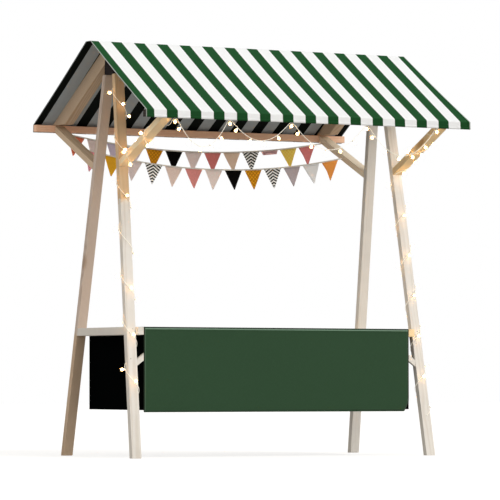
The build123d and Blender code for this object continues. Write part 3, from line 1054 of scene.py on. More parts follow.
    def boards(self) -> None:
        """Builds the counter's boards with their gaps, in place of the plain top."""
        low, high = (Vector(corner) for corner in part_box("counter_top"))
        width = (high.y - low.y - self.board_gap * (self.board_count - 1)) / self.board_count
        pitch = width + self.board_gap
        table, materials = bmesh.new(), []
        for number in range(self.board_count):
            front = low.y + number * pitch
            block = bmesh.ops.create_cube(table, size=1.0)["verts"]
            for vertex in block:
                vertex.co = Vector((
                    high.x if vertex.co.x > 0 else low.x, front + (width if vertex.co.y > 0 else 0.0),
                    high.z if vertex.co.z > 0 else low.z))
            edges = list({edge for vertex in block for edge in vertex.link_edges})
            bmesh.ops.bevel(
                table, geom=edges, offset=self.board_arris, segments=3, affect="EDGES", profile=0.5)
            finish = PineFinish(
                along=Vector((1, 0, 0)), centre=Vector((0.0, low.y + (number + 0.5) * pitch, low.z)),
                pale=self.board_pale, turn=0.7 + 0.9 * number, ring_share=0.65)
            materials.append(finish.material(f"pine board {number}"))
        table.verts.index_update()
        points = [vertex.co.copy() for vertex in table.verts]
        faces = [[vertex.index for vertex in face.verts] for face in table.faces]
        indices = [
            min(int((face.calc_center_median().y - low.y) / pitch), self.board_count - 1)
            for face in table.faces]
        table.free()
        made = MeshShop.piece("counter_boards", points, faces, materials, smooth=False, indices=indices)
        MeshShop.mount(made, "counter_board", "counter_top")

    def screw_places(self) -> list[Seat]:
        """Place and outward direction of every screw head."""
        places, trusses = [], self.trusses
        for end in (-1, 1):
            for side in (-1, 1):
                leg, outward, half = trusses.leg(end, side)
                for height, share in (*self.leg_screws, (self.brace_screws[end > 0], -0.35)):
                    across = Vector((trusses.half_width * share, 0, 0))
                    places.append((leg(height) + outward * half + across, outward))
                foot = leg(trusses.strut_foot - self.strut_screw_drop) - outward * half
                places.extend(
                    (foot + Vector((across, 0, above)), -outward) for across, above in self.strut_screws)
                places.extend((leg(height) + outward * half, outward) for height in self.head_screws)
                inner = end * (trusses.x(self.rafter_screw_face) - trusses.half_width)
                places.extend(
                    (Vector((inner, side * spread, self.rafter_screw_height)), Vector((-end, 0, 0)))
                    for spread in self.rafter_screws)
            places.extend(
                (Vector((end * trusses.x(height) + way * trusses.half_width, side * spread, height)),
                 Vector((way, 0, 0)))
                for height, spread in self.ridge_screws for side in (-1, 1) for way in (-1, 1))
        return places

    def screws(self) -> None:
        """Builds the countersunk screw heads, each with its cross recess."""
        sides, vertices, faces = self.screw_sides, [], []
        for place, outward in self.screw_places():
            spin = Matrix.Rotation(self.random.uniform(0, 1.5), 3, "Z")
            turn = outward.to_track_quat("Z", "Y").to_matrix() @ spin
            start = len(vertices)
            for share, lift in self.screw_rings:
                for step, point in enumerate(ring_points(self.screw_radius * share, sides, lift)):
                    if share < 0.5 and step % 4:
                        point.xy *= self.cross_share
                    vertices.append(place + turn @ point)
            faces.extend(ring_faces(start, len(self.screw_rings), sides))
            faces.append(tuple(range(len(vertices) - sides, len(vertices))))
            faces.append(tuple(range(start + sides - 1, start - 1, -1)))
        zinc = ZincSteel().material("zinc screws")
        made = MeshShop.piece("frame_screws", vertices, faces, [zinc], smooth=False)
        MeshShop.mount(made, "timber")

    def build(self) -> None:
        """Dresses every timber, then builds the boards and the screws."""
        plain = ("leg_", "rafter_", "strut_", "truss_head", "side_rail", "ridge_beam", "eave_beam",
                 "counter_bearer", "counter_brace", "counter_rail", "counter_battens")
        for name in sorted(self.nodes):
            if name.startswith(plain):
                self.dress(name)
        self.boards()
        self.screws()


# ---------------------------------------------------------------- canopy


@dataclass
class Canopy:
    """The striped cloth over the ridge and both eaves."""

    half_length: float = 1.105
    fold: float = 0.7653
    fold_height: float = 2.0403
    top: float = 2.4983
    flat_half: float = 0.030
    valance: float = 0.0453
    thickness: float = 0.0012
    sag: float = 0.006
    droop: float = 0.004
    flare: float = 0.020
    last_seam: float = 1.050
    bend: float = 0.005
    edge: float = 0.012
    sag_half: float = 0.93
    droop_from: float = 0.985
    wave: float = 0.0022
    ripple: float = 0.0007
    hem_width: float = 0.016
    hem_thickness: float = 0.0006
    # Painted shade: the underside's stripes are the top's stripes darkened as the shade under the canopy.
    underside_shade_green: Colour = srgb(5, 9, 6)
    underside_shade_white: Colour = srgb(172, 181, 187)

    def path(self) -> RoundedPath:
        """Inner side of the cloth, from the front valance's hem over the ridge to the rear one."""
        low = self.fold_height - self.valance
        return RoundedPath([
            (-self.fold, low), (-self.fold, self.fold_height), (-self.flat_half, self.top),
            (self.flat_half, self.top), (self.fold, self.fold_height), (self.fold, low)], self.bend)

    def rows(self, path: RoundedPath) -> list[float]:
        """Rows of the grid, closer at the folds and hems."""
        folds = [mark + way * self.bend for mark in path.marks[1:-1] for way in (-1, 1)]
        marks = [0.0, self.edge, *folds, path.length - self.edge, path.length]
        return stations(marks, (2, 3, 6, 30, 5, 4, 5, 30, 6, 3, 2))

    def place(self, path: RoundedPath, across: float, along: float) -> Vector:
        """Inner side of the hung cloth at a flat place.

        Args:
            path: The cloth's section.
            across: Distance from the middle along the ridge.
            along: Length over the section from the front hem.

        Returns:
            The place.
        """
        spot, way = path.at(along)
        normal = Vector((-way.y, way.x))
        first, last = path.marks[1], path.marks[2]
        margin = max(0.0, (across - self.last_seam) / (self.half_length - self.last_seam))
        if along > path.length / 2:
            along = path.length - along
            least, most = 0.0, -0.5
        else:
            least, most = 1.0, -0.5
        spread = least + (most - least) * min(1.0, max(0.0, (along - first) / (last - first)))
        if along <= first:
            drop = (first - along) / first
            wave = 0.5 + 0.5 * math.sin(across * 23.0 + 1.7 * math.sin(across * 5.1))
            spot = spot + normal * self.wave * drop * wave
        elif along < last:
            share = (along - first) / (last - first)
            between = math.sin(math.pi * share)
            span = abs(across) / self.sag_half
            inside = math.cos(math.pi / 2 * min(span, 1.0)) ** 0.7 if span < 1 else 0.0
            beyond = (abs(across) - self.droop_from) / (self.half_length - self.droop_from)
            outside = max(0.0, beyond)
            ripple = self.ripple * math.sin(across * 17.0 + share * 3.0) * inside
            spot = spot - normal * between * (self.sag * inside + self.droop * outside ** 2 + ripple)
        return Vector((across + self.flare * margin * spread, spot.x, spot.y))

    def build(self) -> None:
        path, end = self.path(), self.half_length
        columns = stations((-end, self.edge - end, end - self.edge, end), (2, 96, 2))
        sizes = {"half_length": end, "valance": self.valance, "length": path.length}
        finish = StripedCloth(**sizes)
        # The underside material is the striped cloth in painted shade.
        painted_shade_underside = StripedCloth(green=self.underside_shade_green, white=self.underside_shade_white, **sizes)
        made = ClothGrid(columns, self.rows(path)).build(
            "canopy_cloth", partial(self.place, path), finish.material("striped canopy cloth"),
            self.thickness, painted_shade_underside.material("canopy cloth underside"))
        MeshShop.mount(made, "canopy_cloth", "canopy")
        hem = self.hems(path, finish)

    def hems(self, path: RoundedPath, finish: StripedCloth) -> bpy.types.Object:
        """Builds the turned hems: a second layer along the valances' lower edges and both gable ends."""
        width, lift = self.hem_width, self.thickness + 0.0001
        rows, end, hems = self.rows(path), self.half_length, Patches()
        across = stations((-end, end), (100,))
        for columns, lengths in (
                (across, (0.0, width)), (across, (path.length - width, path.length)),
                ((-end, width - end), rows), ((end - width, end), rows)):
            strip = []
            for along in lengths:
                _, way = path.at(along)
                out = Vector((0, -way.y, way.x)) * lift
                strip.append([(self.place(path, place, along) + out, (place, along)) for place in columns])
            hems.add(strip)
        made = hems.piece("canopy_hems", [finish.material("striped canopy hem")])
        MeshShop.thicken(made, self.hem_thickness)
        return MeshShop.mount(made, "canopy_cloth")


# ---------------------------------------------------------------- counter cloths


@dataclass
class CounterCloths:
    """The green cloth over the counter's front and the cloths at its ends, coloured near black as painted deep
    shade.
    """

    half_length: float = 0.9146
    front: float = 0.3831
    rear: float = 0.3600
    top: float = 0.7773
    front_bottom: float = 0.271
    left_spread: float = 0.0060
    side_bottom: float = 0.283
    turn: float = 0.064
    side_face: float = 0.9134
    thickness: float = 0.0009
    green: Colour = srgb(41, 66, 44)
    # Near-black colour of the end cloths: painted deep shade.
    dark: Colour = srgb(4, 5, 5)
    brace_notch: tuple[float, float] = (0.5759, 0.6223)
    notch_depth: float = 0.024
    corner_from: float = 0.874
    corner_height: float = 0.060
    corner_back: float = 0.024
    bearer_held: float = 0.055

    def front_place(self, path: RoundedPath, across: float, along: float) -> Vector:
        """Inner side of the front cloth: flat at the top, with shallow folds towards its hem."""
        spot, _ = path.at(along)
        fall = max(0.0, (path.marks[1] - 0.05 - along) / path.marks[1])
        wave = math.sin(across * 9.0 + 0.6) * 0.5 + math.sin(across * 21.0 + 2.0) * 0.22 + 0.5
        beyond = max(0.0, (across - self.corner_from) / (self.half_length - self.corner_from))
        corner = beyond * max(0.0, 1 - along / self.corner_height)
        raised = math.sin(math.pi * min(1.0, max(0.0, (path.marks[1] - 0.006 - along) / 0.013)))
        out = 0.012 * corner - 0.0026 * fall ** 1.5 * wave - 0.0014 * raised
        left = self.left_spread * max(0.0, -across / self.half_length)
        return Vector((across - left - self.corner_back * corner, spot.x + out, spot.y + 0.004 * corner ** 2))

    def build_front(self) -> None:
        """Builds the front cloth with its bound edges and the top edge that turns over the counter."""
        path = RoundedPath([(-self.front, self.front_bottom), (-self.front, self.top),
                            (-self.front + self.turn, self.top)], 0.003)
        mark = path.marks[1]
        grid = ClothGrid(
            stations((-self.half_length, self.half_length), (90,)),
            stations((0.0, 0.015, mark - 0.02, mark - 0.003, mark + 0.003, path.length), (2, 22, 8, 5, 6)))
        finish = BoundCloth(self.green, half_length=self.half_length, height=mark)
        made = grid.build(
            "front_cloth_green", partial(self.front_place, path), finish.material("green front cloth"),
            self.thickness)
        MeshShop.mount(made, "counter_cloth", "front_cloth")

    def build_side(self, end: int) -> None:
        """Builds the cloth at one end of the counter, coloured near black as painted deep shade, free below its
        bearer.
        """
        name = "left" if end < 0 else "right"
        length = self.top - self.side_bottom - 0.0008
        held, notch = length - self.bearer_held, self.notch_depth - self.front
        low, high = (edge - self.side_bottom for edge in self.brace_notch)
        grid = ClothGrid(
            stations((-self.front, notch, self.rear), (2, 34)),
            stations((0.0, 0.012, low, high, held, length), (2, 12, 2, 5, 3)))

        def whole(across: float, along: float) -> bool:
            """Whether the cloth is there, which it isn't where the brace passes."""
            return not (low < along < high and across < notch)

        def place(across: float, along: float) -> Vector:
            """Inner side of the end cloth at a flat place."""
            fall = max(0.0, (held - along) / length)
            wave = math.sin(across * 16.0 + end) * 0.6 + math.sin(across * 37.0) * 0.3
            out = end * (0.0035 * fall ** 1.3 * wave)
            return Vector((end * self.side_face + out, across, self.side_bottom + along))
        # The end cloth's near-black colour is painted deep shade.
        finish = PlainCloth(self.dark, sheen=0.0, gloss=0.0)
        made = grid.build(
            f"side_cloth_painted_shade_{name}", place, finish.material(f"painted shade end cloth {name}"), self.thickness,
            keep=whole, turned=end < 0)
        MeshShop.mount(made, "counter_cloth", f"side_cloth_{name}")

    def build(self) -> None:
        """Builds the three cloths."""
        self.build_front()
        for end in (-1, 1):
            self.build_side(end)


# ---------------------------------------------------------------- pennants


@dataclass(frozen=True)
class Pennant:
    """One pennant's cotton."""

    colour: Colour
    pattern: Pattern = Pattern.PLAIN
    second: Colour = srgb(20, 20, 22)
    fold: float = 0.0
    rolled: bool = False

    def hang(self, along: float) -> tuple[float, float]:
        """How far down and out a length from the tape lies; a rolled pennant winds up below the tape."""
        flat, roll = 0.016, 0.0085
        if not self.rolled or along <= flat:
            return along, 0.0
        radius = roll - 0.035 * (along - flat)
        angle = (along - flat) / 0.0075
        return flat + radius * math.sin(angle), radius * math.cos(angle) - roll


CREAM, INK = srgb(254, 253, 249), srgb(9, 7, 7)
CHEVRON = Pennant(CREAM, Pattern.CHEVRON, INK)
MUSTARD = Pennant(srgb(236, 166, 40), Pattern.CHECK, srgb(196, 126, 20))

UPPER_PENNANTS = (
    Pennant(srgb(240, 128, 96)), Pennant(srgb(240, 222, 218)), Pennant(srgb(214, 202, 222)),
    Pennant(srgb(240, 222, 220)), MUSTARD, Pennant(INK), Pennant(srgb(244, 226, 222)),
    Pennant(srgb(228, 132, 128)), Pennant(srgb(244, 214, 190)), CHEVRON, Pennant(srgb(236, 190, 192), rolled=True),
    Pennant(srgb(255, 228, 116), Pattern.CHECK, srgb(255, 214, 90)),
    Pennant(srgb(226, 134, 134), fold=0.35))
LOWER_PENNANTS = (
    Pennant(srgb(236, 160, 172)), Pennant(srgb(232, 172, 44)), Pennant(srgb(228, 212, 210)), CHEVRON,
    Pennant(srgb(240, 216, 204)), Pennant(srgb(230, 148, 142)), Pennant(srgb(244, 226, 218)), Pennant(INK),
    MUSTARD, CHEVRON, Pennant(srgb(196, 184, 188)), Pennant(srgb(248, 248, 248)),
    Pennant(srgb(252, 166, 84), fold=0.45))


@dataclass
class Bunting:
    """One string of pennants between two struts."""

    name: str
    node: str
    depth: float
    tie_height: float
    sag: float
    bare_end: float
    pennants: Sequence[Pennant]
    trusses: Trusses
    end_gap: float = 0.0025
    tape: float = 0.008
    width: float = 0.122
    length: float = 0.122
    corner: float = 0.003
    seed: int = 1
    tape_steps: int = 104
    tab_step: float = 0.006
    cloth: float = 0.0006
    columns: int = 8
    unrest: tuple[float, float, float] = (0.03, 0.012, 0.05)
    flutter: float = 0.0025
    top_edge: float = 0.001
    tape_colour: Colour = srgb(232, 226, 214)

    def bow(self) -> tuple[float, float]:
        """Radius of the hanging tape and half the angle that it spans."""
        reach = self.trusses.x(self.tie_height) - self.trusses.half_width - 0.0002
        radius = (reach ** 2 + self.sag ** 2) / (2 * self.sag)
        return radius, math.asin(reach / radius)

    def arc(self, along: float) -> tuple[Vector, Vector]:
        """Place on the tape's lower edge and its direction, by length from its left end."""
        radius, half = self.bow()
        angle = along / radius - half
        centre = Vector((0.0, self.depth, self.tie_height - self.sag + radius))
        return (centre + Vector((radius * math.sin(angle), 0, -radius * math.cos(angle))),
                Vector((math.cos(angle), 0, math.sin(angle))))

    def tape_row(self, along: float, back: float = 0.0) -> list[Stitch]:
        """Points across the tape at a length along it, set back where it is tied."""
        spot, way = self.arc(along)
        up = Vector((-way.z, 0, way.x)) * self.tape
        return [
            (spot + up * lift + Vector((0, back, 0)), (along + back, lift * self.tape))
            for lift in (0.0, 0.5, 1.0)]

    def pennant_rows(self, pennant: Pennant, middle: float, draws: random.Random) -> list[list[Stitch]]:
        """Points of one pennant.

        Args:
            pennant: The pennant.
            middle: Length along the tape at its middle.
            draws: Random draws for how it hangs.

        Returns:
            The points with their flat places, row by row down from the tape.
        """
        tilt, curl, twist = (draws.uniform(-most, most) for most in self.unrest)
        spot, way = self.arc(middle)
        up = Vector((-way.z, 0, way.x))
        count, rows = 30 if pennant.rolled else 10, []
        for fall in (row / count for row in range(count + 1)):
            half = self.width / 2 * (1 - fall) + self.corner * fall
            along = (self.length - self.top_edge) * fall
            down, over = pennant.hang(along)
            rows.append([])
            for share in (-1 + 2 * column / self.columns for column in range(self.columns + 1)):
                across = half * share
                flutter = curl * fall + twist * across + self.flutter * math.sin(3 * share)
                creased = pennant.fold * max(0.0, 0.55 * across + 0.83 * down - 0.030)
                out = over + tilt * down + flutter * fall + creased
                place = spot + way * across - up * down + Vector((0, out - self.cloth, 0))
                rows[-1].append((place, (across, along)))
        return rows

    def build(self) -> None:
        """Builds the tape and its pennants as one piece."""
        draws, cloth = random.Random(self.seed), Patches()
        materials = [PlainCloth(self.tape_colour).material(f"{self.name} tape")]
        radius, half = self.bow()
        run, count = 2 * half * radius, len(self.pennants)
        steps = self.tape_steps
        cloth.add([self.tape_row(run * step / steps) for step in range(steps + 1)], turned=True)
        for along in (0.0, run):
            cloth.add([self.tape_row(along, self.tab_step * row) for row in range(4)], turned=True)
        first, last = self.end_gap + self.width / 2, run - self.bare_end - self.width / 2
        for number, pennant in enumerate(self.pennants):
            finish = PennantCotton(pennant.colour, pennant.second, pennant.pattern)
            materials.append(finish.material(f"{self.name} {number}"))
            middle = first + (last - first) * number / (count - 1)
            cloth.add(self.pennant_rows(pennant, middle, draws), number + 1)
        made = cloth.piece(self.name, materials)
        MeshShop.thicken(made, self.cloth, 0.0)
        MeshShop.mount(made, "bunting_cloth", self.node)


# ---------------------------------------------------------------- string lights


@dataclass
class StringLights:
    """Cables and globe lamps, along the same points as the part's tubes."""

    trusses: Trusses
    radius: float = 0.0016
    standoff: float = 0.010
    eave_line: float = 1.998 - 0.0003 - 0.0016
    eave_y: float = -0.745
    hooks: tuple[float, ...] = (-0.900, -0.537, -0.120, 0.402, 0.900)
    swag_depths: tuple[float, ...] = (0.163, 0.116, 0.155, 0.176)
    swag_runs: tuple[int, ...] = (12, 10, 12, 12)
    hook_half: float = 0.010
    strut_start: float = 0.045
    strut_pitch: float = 0.240
    lamp_gap: float = 0.00045
    strut_runs: int = 8
    left_wind: tuple[float, float] = (0.357, 0.277)
    left_runs: int = 27
    right_wind: tuple[float, float] = (1.700, -0.250)
    right_runs: int = 23
    left_bare: frozenset[int] = frozenset({0, 4, 13, 20})
    rise_bare: frozenset[int] = frozenset({6, 7})
    fall_bare: frozenset[int] = frozenset({0, 1})
    right_bare: frozenset[int] = frozenset({12, 16, 20})
    tail: float = 0.028
    seat_gap: float = 0.0003
    left_length: float = 2.57
    front_length: float = 5.92
    core: tuple[tuple[float, float], ...] = (
        (0.0095, 0.0030), (0.0120, 0.0050), (0.0160, 0.0066), (0.0200, 0.0070), (0.0240, 0.0060),
        (0.0265, 0.0036), (0.0275, 0.0))
    globe: tuple[tuple[float, float], ...] = (
        (0.0085, 0.0046), (0.0105, 0.0062), (0.0130, 0.0086), (0.0160, 0.0105), (0.0195, 0.0115),
        (0.0230, 0.0113), (0.0262, 0.0098), (0.0288, 0.0072), (0.0304, 0.0038), (0.0310, 0.0))
    end_cap: tuple[tuple[float, float], ...] = (
        (-0.0120, 0.0022), (-0.0112, 0.0030), (-0.0070, 0.0033), (-0.0010, 0.0033), (0.0004, 0.0026),
        (0.0010, 0.0))
    holder: tuple[tuple[float, float], ...] = (
        (0.0, 0.0030), (0.0004, 0.0042), (0.0030, 0.0045), (0.0034, 0.0050), (0.0046, 0.0050), (0.0050, 0.0045),
        (0.0062, 0.0045), (0.0066, 0.0050), (0.0092, 0.0050), (0.0096, 0.0044))

    def wind(
        self, axis: Axis, end: int, start: float, pitch: float,
        order: Sequence[tuple[int, int]], runs: int,
    ) -> tuple[list[Vector], list[Vector]]:
        """Corners of a cable wound round a timber, and the way that each run faces.

        Args:
            axis: The timber's centre line, depth direction and half depth.
            end: -1 on the left truss, 1 on the right one.
            start: Station of the first corner.
            pitch: Stations from one turn to the next.
            order: Outward and depth sign of four corners in turn.
            runs: Number of runs.

        Returns:
            The corners and the outward direction of each run.
        """
        centre, down, half_depth = axis
        wide, deep = self.trusses.half_width + self.standoff, half_depth + self.standoff
        station, corners, facing = start, [], []
        for number in range(runs + 1):
            across, depth = order[number % 4]
            next_across, _ = order[(number + 1) % 4]
            corners.append(centre(station) + Vector((end * across * wide, 0, 0)) + down * depth * deep)
            same = across == next_across
            facing.append(Vector((end * across, 0, 0)) if same else down * depth)
            station += pitch * (deep if same else wide) / (2 * (wide + deep))
        return corners, facing[:-1]

    def swag(self, first: float, last: float, depth: float, runs: int) -> list[Vector]:
        """Points of a hanging cable between two hooks, its end runs half as long as the others."""
        shares = [0.0] + [(number + 0.5) / (runs - 1) for number in range(runs - 1)] + [1.0]
        return [
            Vector((first + share * (last - first), self.eave_y, self.eave_line - 4 * depth * share * (1 - share)))
            for share in shares]

    @staticmethod
    def middles(
        points: Sequence[Vector], facing: Sequence[Vector], skip: frozenset[int],
    ) -> list[Seat]:
        """Middle and facing of every run that carries a lamp."""
        return [((points[number] + points[number + 1]) / 2, way)
                for number, way in enumerate(facing) if number not in skip]

    @staticmethod
    def swag_lamps(points: Sequence[Vector]) -> list[Seat]:
        """Middle and facing of a lamp below every second run of a swag."""
        places = []
        for number in range(1, len(points) - 2, 2):
            run = (points[number + 1] - points[number]).normalized()
            places.append(((points[number] + points[number + 1]) / 2, Vector((run.z, 0, -run.x))))
        return places

    def left_route(self) -> tuple[list[Vector], list[Seat]]:
        """Route and lamps of the cable wound up the left front leg."""
        leg = self.trusses.leg(-1, -1)
        centre, down, half = leg
        around = [(-1, -1), (-1, 1), (1, 1), (1, -1)]
        corners, facing = self.wind(leg, -1, *self.left_wind, around, self.left_runs)
        seat = down * (half + self.radius + self.seat_gap)
        head, tail = centre(corners[0].z - self.tail) - seat, centre(corners[-1].z + self.tail) - seat
        return [head, *corners, tail], self.middles(corners, facing, self.left_bare)

    def front_route(self) -> tuple[list[Vector], list[Seat]]:
        """Route and lamps of the cable up the left strut, along the eave and down the right leg."""
        rise, fall = [(-1, 1), (1, 1), (1, -1), (-1, -1)], [(-1, 1), (-1, -1), (1, -1), (1, 1)]
        left, right, leg = self.trusses.strut(-1, -1), self.trusses.strut(1, -1), self.trusses.leg(1, -1)
        start, pitch = self.strut_start, self.strut_pitch
        up, up_facing = self.wind(left, -1, start, pitch, rise, self.strut_runs)
        down, down_facing = self.wind(right, 1, start + 2 * pitch, -pitch, fall, self.strut_runs)
        low, low_facing = self.wind(leg, 1, *self.right_wind, fall, self.right_runs)
        lamps = self.middles(up, up_facing, self.rise_bare)
        outer = [Vector((sign * (self.hooks[-1] + self.hook_half), self.eave_y + out, self.eave_line - drop))
                 for sign in (-1, 1) for out, drop in ((0.033, 0.025), (0.008, 0.0))]
        points = [*up, outer[0], outer[1]]
        for first, last, depth, runs in zip(self.hooks, self.hooks[1:], self.swag_depths, self.swag_runs):
            stretch = self.swag(first + self.hook_half, last - self.hook_half, depth, runs)
            lamps.append(((points[-1] + stretch[0]) / 2, Vector((0, 0, -1))))
            lamps.extend(self.swag_lamps(stretch))
            points.extend(stretch)
        points.append(outer[3])
        lamps.append(((points[-2] + points[-1]) / 2, Vector((0, 0, -1))))
        points.extend([outer[2], *down, *low])
        centre, outwards, half = leg
        points.append(centre(low[-1].z - self.tail) + outwards * (half + self.radius + self.seat_gap))
        lamps.extend(self.middles(down, down_facing, self.fall_bare))
        lamps.extend(self.middles(low, low_facing, self.right_bare))
        return points, lamps

    def cable(self, name: str, points: Sequence[Vector], material: bpy.types.Material) -> bpy.types.Object:
        """Builds a cable as a smooth curve through its route."""
        curve = bpy.data.curves.new(name, "CURVE")
        curve.dimensions, curve.bevel_depth = "3D", self.radius
        curve.bevel_resolution, curve.resolution_u = 2, 6
        curve.use_fill_caps = True
        line = curve.splines.new("NURBS")
        line.points.add(len(points) - 1)
        for made, point in zip(line.points, points):
            made.co = (*point, 1.0)
        line.order_u, line.use_endpoint_u = 3, True
        curve.materials.append(material)
        curve.materials.append(material)
        return MeshShop.linked(name, curve)

    def turned(
        self, name: str, places: Sequence[Seat], profile: Sequence[tuple[float, float]], sides: int,
        material: bpy.types.Material,
    ) -> bpy.types.Object:
        """Builds one turned form at every lamp, as a single piece.

        Args:
            name: The piece's name.
            places: Middle of each run and the way its lamp faces.
            profile: Distance from the cable and radius, from the cable outwards.
            sides: Number of sides.
            material: Its material.

        Returns:
            The piece.
        """
        vertices, faces = [], []
        seat = self.radius + self.lamp_gap
        rings = [(reach, ring) for reach, ring in profile if ring]
        for middle, facing in places:
            turn = facing.to_track_quat("Z", "Y").to_matrix()
            start = len(vertices)
            for reach, ring in rings:
                vertices.extend(middle + turn @ point for point in ring_points(ring, sides, reach + seat))
            faces.append(tuple(range(start + sides - 1, start - 1, -1)))
            faces.extend(ring_faces(start, len(rings), sides))
            tip = len(vertices)
            if len(rings) < len(profile):
                vertices.append(middle + turn @ Vector((0.0, 0.0, profile[-1][0] + seat)))
                base = tip - sides
                faces.extend((base + step, base + (step + 1) % sides, tip) for step in range(sides))
            else:
                faces.append(tuple(range(tip - sides, tip)))
        return MeshShop.piece(name, vertices, faces, [material])

    def build_string(self, name: str, route: tuple[list[Vector], list[Seat]], length: float) -> None:
        """Builds one cable with its lamps."""
        points, places = route
        tips = ((points[0], points[1]), (points[-1], points[-2]))
        ends = [(tip, (tip - other).normalized()) for tip, other in tips]
        # The cable sheath's faint even glow is painted lamp light.
        cable = self.cable(f"cable_{name}", points, PlainSheath(glow=0.2).material(f"{name} cable sheath"))
        globes, cores, holders, caps = (
            self.turned(f"{piece}_{name}", seats, profile, sides, finish.material(f"{name} {look}"))
            for piece, seats, profile, sides, finish, look in (
                ("lamp_globes", places, self.globe, 14, LampShell(), "lamp shell"),
                ("lamp_cores", places, self.core, 8, LampGlow(), "lamp glow"),
                ("lamp_holders", places, self.holder, 10, PlainSheath(), "lamp holders"),
                ("cable_caps", ends, self.end_cap, 14, PlainSheath(), "cable caps")))
        MeshShop.mount(caps, "lamp_cable")
        MeshShop.mount(cable, "lamp_cable", f"light_cable_{name}")
        MeshShop.mount(globes, "lamp_glass", f"light_bulbs_{name}")
        MeshShop.mount(cores, "lamp_glass")
        MeshShop.mount(holders, "lamp_cable")
        tuple(points[0])

    def staples(self) -> None:
        """Builds the wire staples that hold the front cable under the eave beam."""
        half, rise, wire, sides = 0.0024, 0.0041, 0.0005, 8
        bends = ((-half, 0.002), (-half, 0.0008 - rise), (0.0006 - half, -rise), (half - 0.0006, -rise),
                 (half, 0.0008 - rise), (half, 0.002))
        vertices, faces = [], []
        for hook in self.hooks:
            start = len(vertices)
            crown = Vector((hook, self.eave_y, self.eave_line + 0.0019))
            for (y, z), before, after in zip(bends, (bends[0], *bends), (*bends[1:], bends[-1])):
                way = Vector((0, after[0] - before[0], after[1] - before[1])).normalized()
                side = way.cross(Vector((1, 0, 0)))
                vertices.extend(
                    crown + Vector((point.x, y, z)) + side * point.y
                    for point in ring_points(wire, sides, 0.0))
            faces.extend(ring_faces(start, len(bends), sides))
            faces.append(tuple(range(start + sides - 1, start - 1, -1)))
            faces.append(tuple(range(len(vertices) - sides, len(vertices))))
        made = MeshShop.piece("cable_staples", vertices, faces, [ZincSteel().material("zinc staples")])
        MeshShop.mount(made, "timber")

    def build(self) -> None:
        """Builds both strings of lights."""
        self.build_string("left", self.left_route(), self.left_length)
        self.build_string("front", self.front_route(), self.front_length)
        self.staples()


# ---------------------------------------------------------------- stage


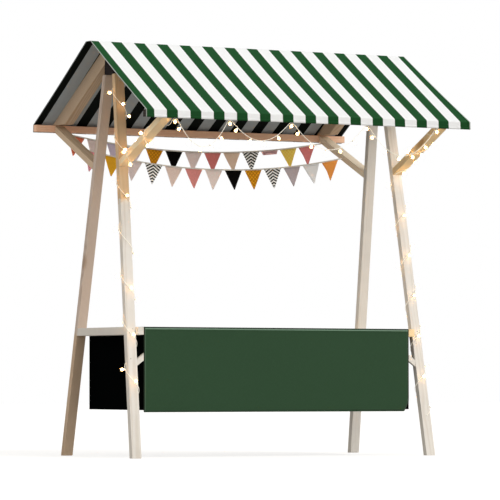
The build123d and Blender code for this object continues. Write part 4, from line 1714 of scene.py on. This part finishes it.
@dataclass(frozen=True)
class Studio:
    """Floor, light and camera."""

    azimuth: float = math.radians(28.7504)
    elevation: float = math.radians(-2.0356)
    roll: float = math.radians(0.0539)
    distance: float = 22.3078
    target: tuple[float, float, float] = (0.0074, 0.0, 1.2618)
    lens: float = 261.106
    lights: tuple[tuple[str, tuple[float, float, float], float, float], ...] = (
        ("soft key", (0.35, -0.60, 0.72), 0.86, math.radians(22)),
        ("low front light", (0.22, -0.97, 0.07), 1.66, math.radians(50)),
        ("low left light", (-0.96, -0.20, 0.10), 0.5, math.radians(60)))
    fill: Colour = (0.63, 0.62, 0.605)
    floor_half: float = 40.0
    floor_colour: Colour = (0.42, 0.41, 0.39)
    floor_glow: float = 0.72

    def camera(self) -> None:
        """Puts the camera at the photograph's viewing angle."""
        level = math.cos(self.elevation)
        out = Vector((-math.sin(self.azimuth) * level, -math.cos(self.azimuth) * level, math.sin(self.elevation)))
        ahead = -out
        right = ahead.cross(Vector((0, 0, 1))).normalized()
        up = right.cross(ahead)
        tilted = math.cos(self.roll) * right + math.sin(self.roll) * up
        above = -math.sin(self.roll) * right + math.cos(self.roll) * up
        data = bpy.data.cameras.new("camera")
        data.lens, data.sensor_width, data.clip_end = self.lens, 36.0, 200.0
        made = MeshShop.linked("camera", data)
        turn = Matrix((tilted, above, out)).transposed().to_4x4()
        made.matrix_world = Matrix.Translation(Vector(self.target) + out * self.distance) @ turn
        bpy.context.scene.camera = made

    @staticmethod
    def seen(graph: Graph) -> Socket:
        """1 where the camera, a gloss or a glass looks, else 0."""
        path = graph.node("LightPath")
        first = graph.math("MAXIMUM", path.outputs["Is Camera Ray"], path.outputs["Is Glossy Ray"])
        return graph.math("MAXIMUM", first, path.outputs["Is Transmission Ray"])

    def floor(self) -> None:
        """Lays the plain pale floor, which keeps a faint shadow."""
        half = self.floor_half
        material = bpy.data.materials.new("pale floor")
        material.use_nodes = True
        tree = material.node_tree
        tree.nodes.clear()
        graph = Graph(tree)
        diffuse, glow, both = (graph.node(kind) for kind in ("BsdfDiffuse", "Emission", "AddShader"))
        diffuse.inputs["Color"].default_value = (*self.floor_colour, 1.0)
        graph.feed(glow.inputs["Strength"], graph.times(self.seen(graph), self.floor_glow))
        graph.feed(both.inputs[0], diffuse.outputs[0])
        graph.feed(both.inputs[1], glow.outputs[0])
        graph.feed(graph.node("OutputMaterial").inputs["Surface"], both.outputs[0])
        corners = [(-half, -half, 0), (half, -half, 0), (half, half, 0), (-half, half, 0)]
        MeshShop.piece("floor", corners, [(0, 1, 2, 3)], [material])

    def light(self) -> None:
        """Sets the soft key, two low lights and the even fill of the world."""
        for name, toward, strength, width in self.lights:
            lamp = bpy.data.lights.new(name, "SUN")
            lamp.energy, lamp.angle = strength, width
            MeshShop.linked(name, lamp).rotation_euler = Vector(toward).to_track_quat("Z", "Y").to_euler()
        world = bpy.data.worlds.new("studio")
        bpy.context.scene.world = world
        world.use_nodes = True
        graph = Graph(world.node_tree)
        sky = world.node_tree.nodes["Background"]
        graph.feed(sky.inputs["Color"], graph.mix(self.seen(graph), self.fill, (1.0, 1.0, 1.0)))
        bpy.context.scene.view_settings.view_transform = "Standard"

    def build(self) -> None:
        """Sets the stage."""
        self.camera()
        self.floor()
        self.light()


def main() -> None:
    """Dresses the stall in order."""
    logging.basicConfig(level=logging.INFO, format="%(name)s: %(message)s")
    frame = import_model()
    trusses = Trusses()
    Studio().build()
    StringLights(trusses).build()
    TimberFrame(trusses, frame["nodes"]).build()
    Canopy().build()
    CounterCloths().build()
    Bunting(
        "pennants_rear", "bunting_rear", depth=0.680, tie_height=1.982, sag=0.084, bare_end=0.061,
        pennants=UPPER_PENNANTS, trusses=trusses, seed=3).build()
    Bunting(
        "pennants_middle", "bunting_middle", depth=0.430, tie_height=1.874, sag=0.100, bare_end=0.037,
        pennants=LOWER_PENNANTS, trusses=trusses, seed=8).build()


if __name__ == "__main__":
    main()
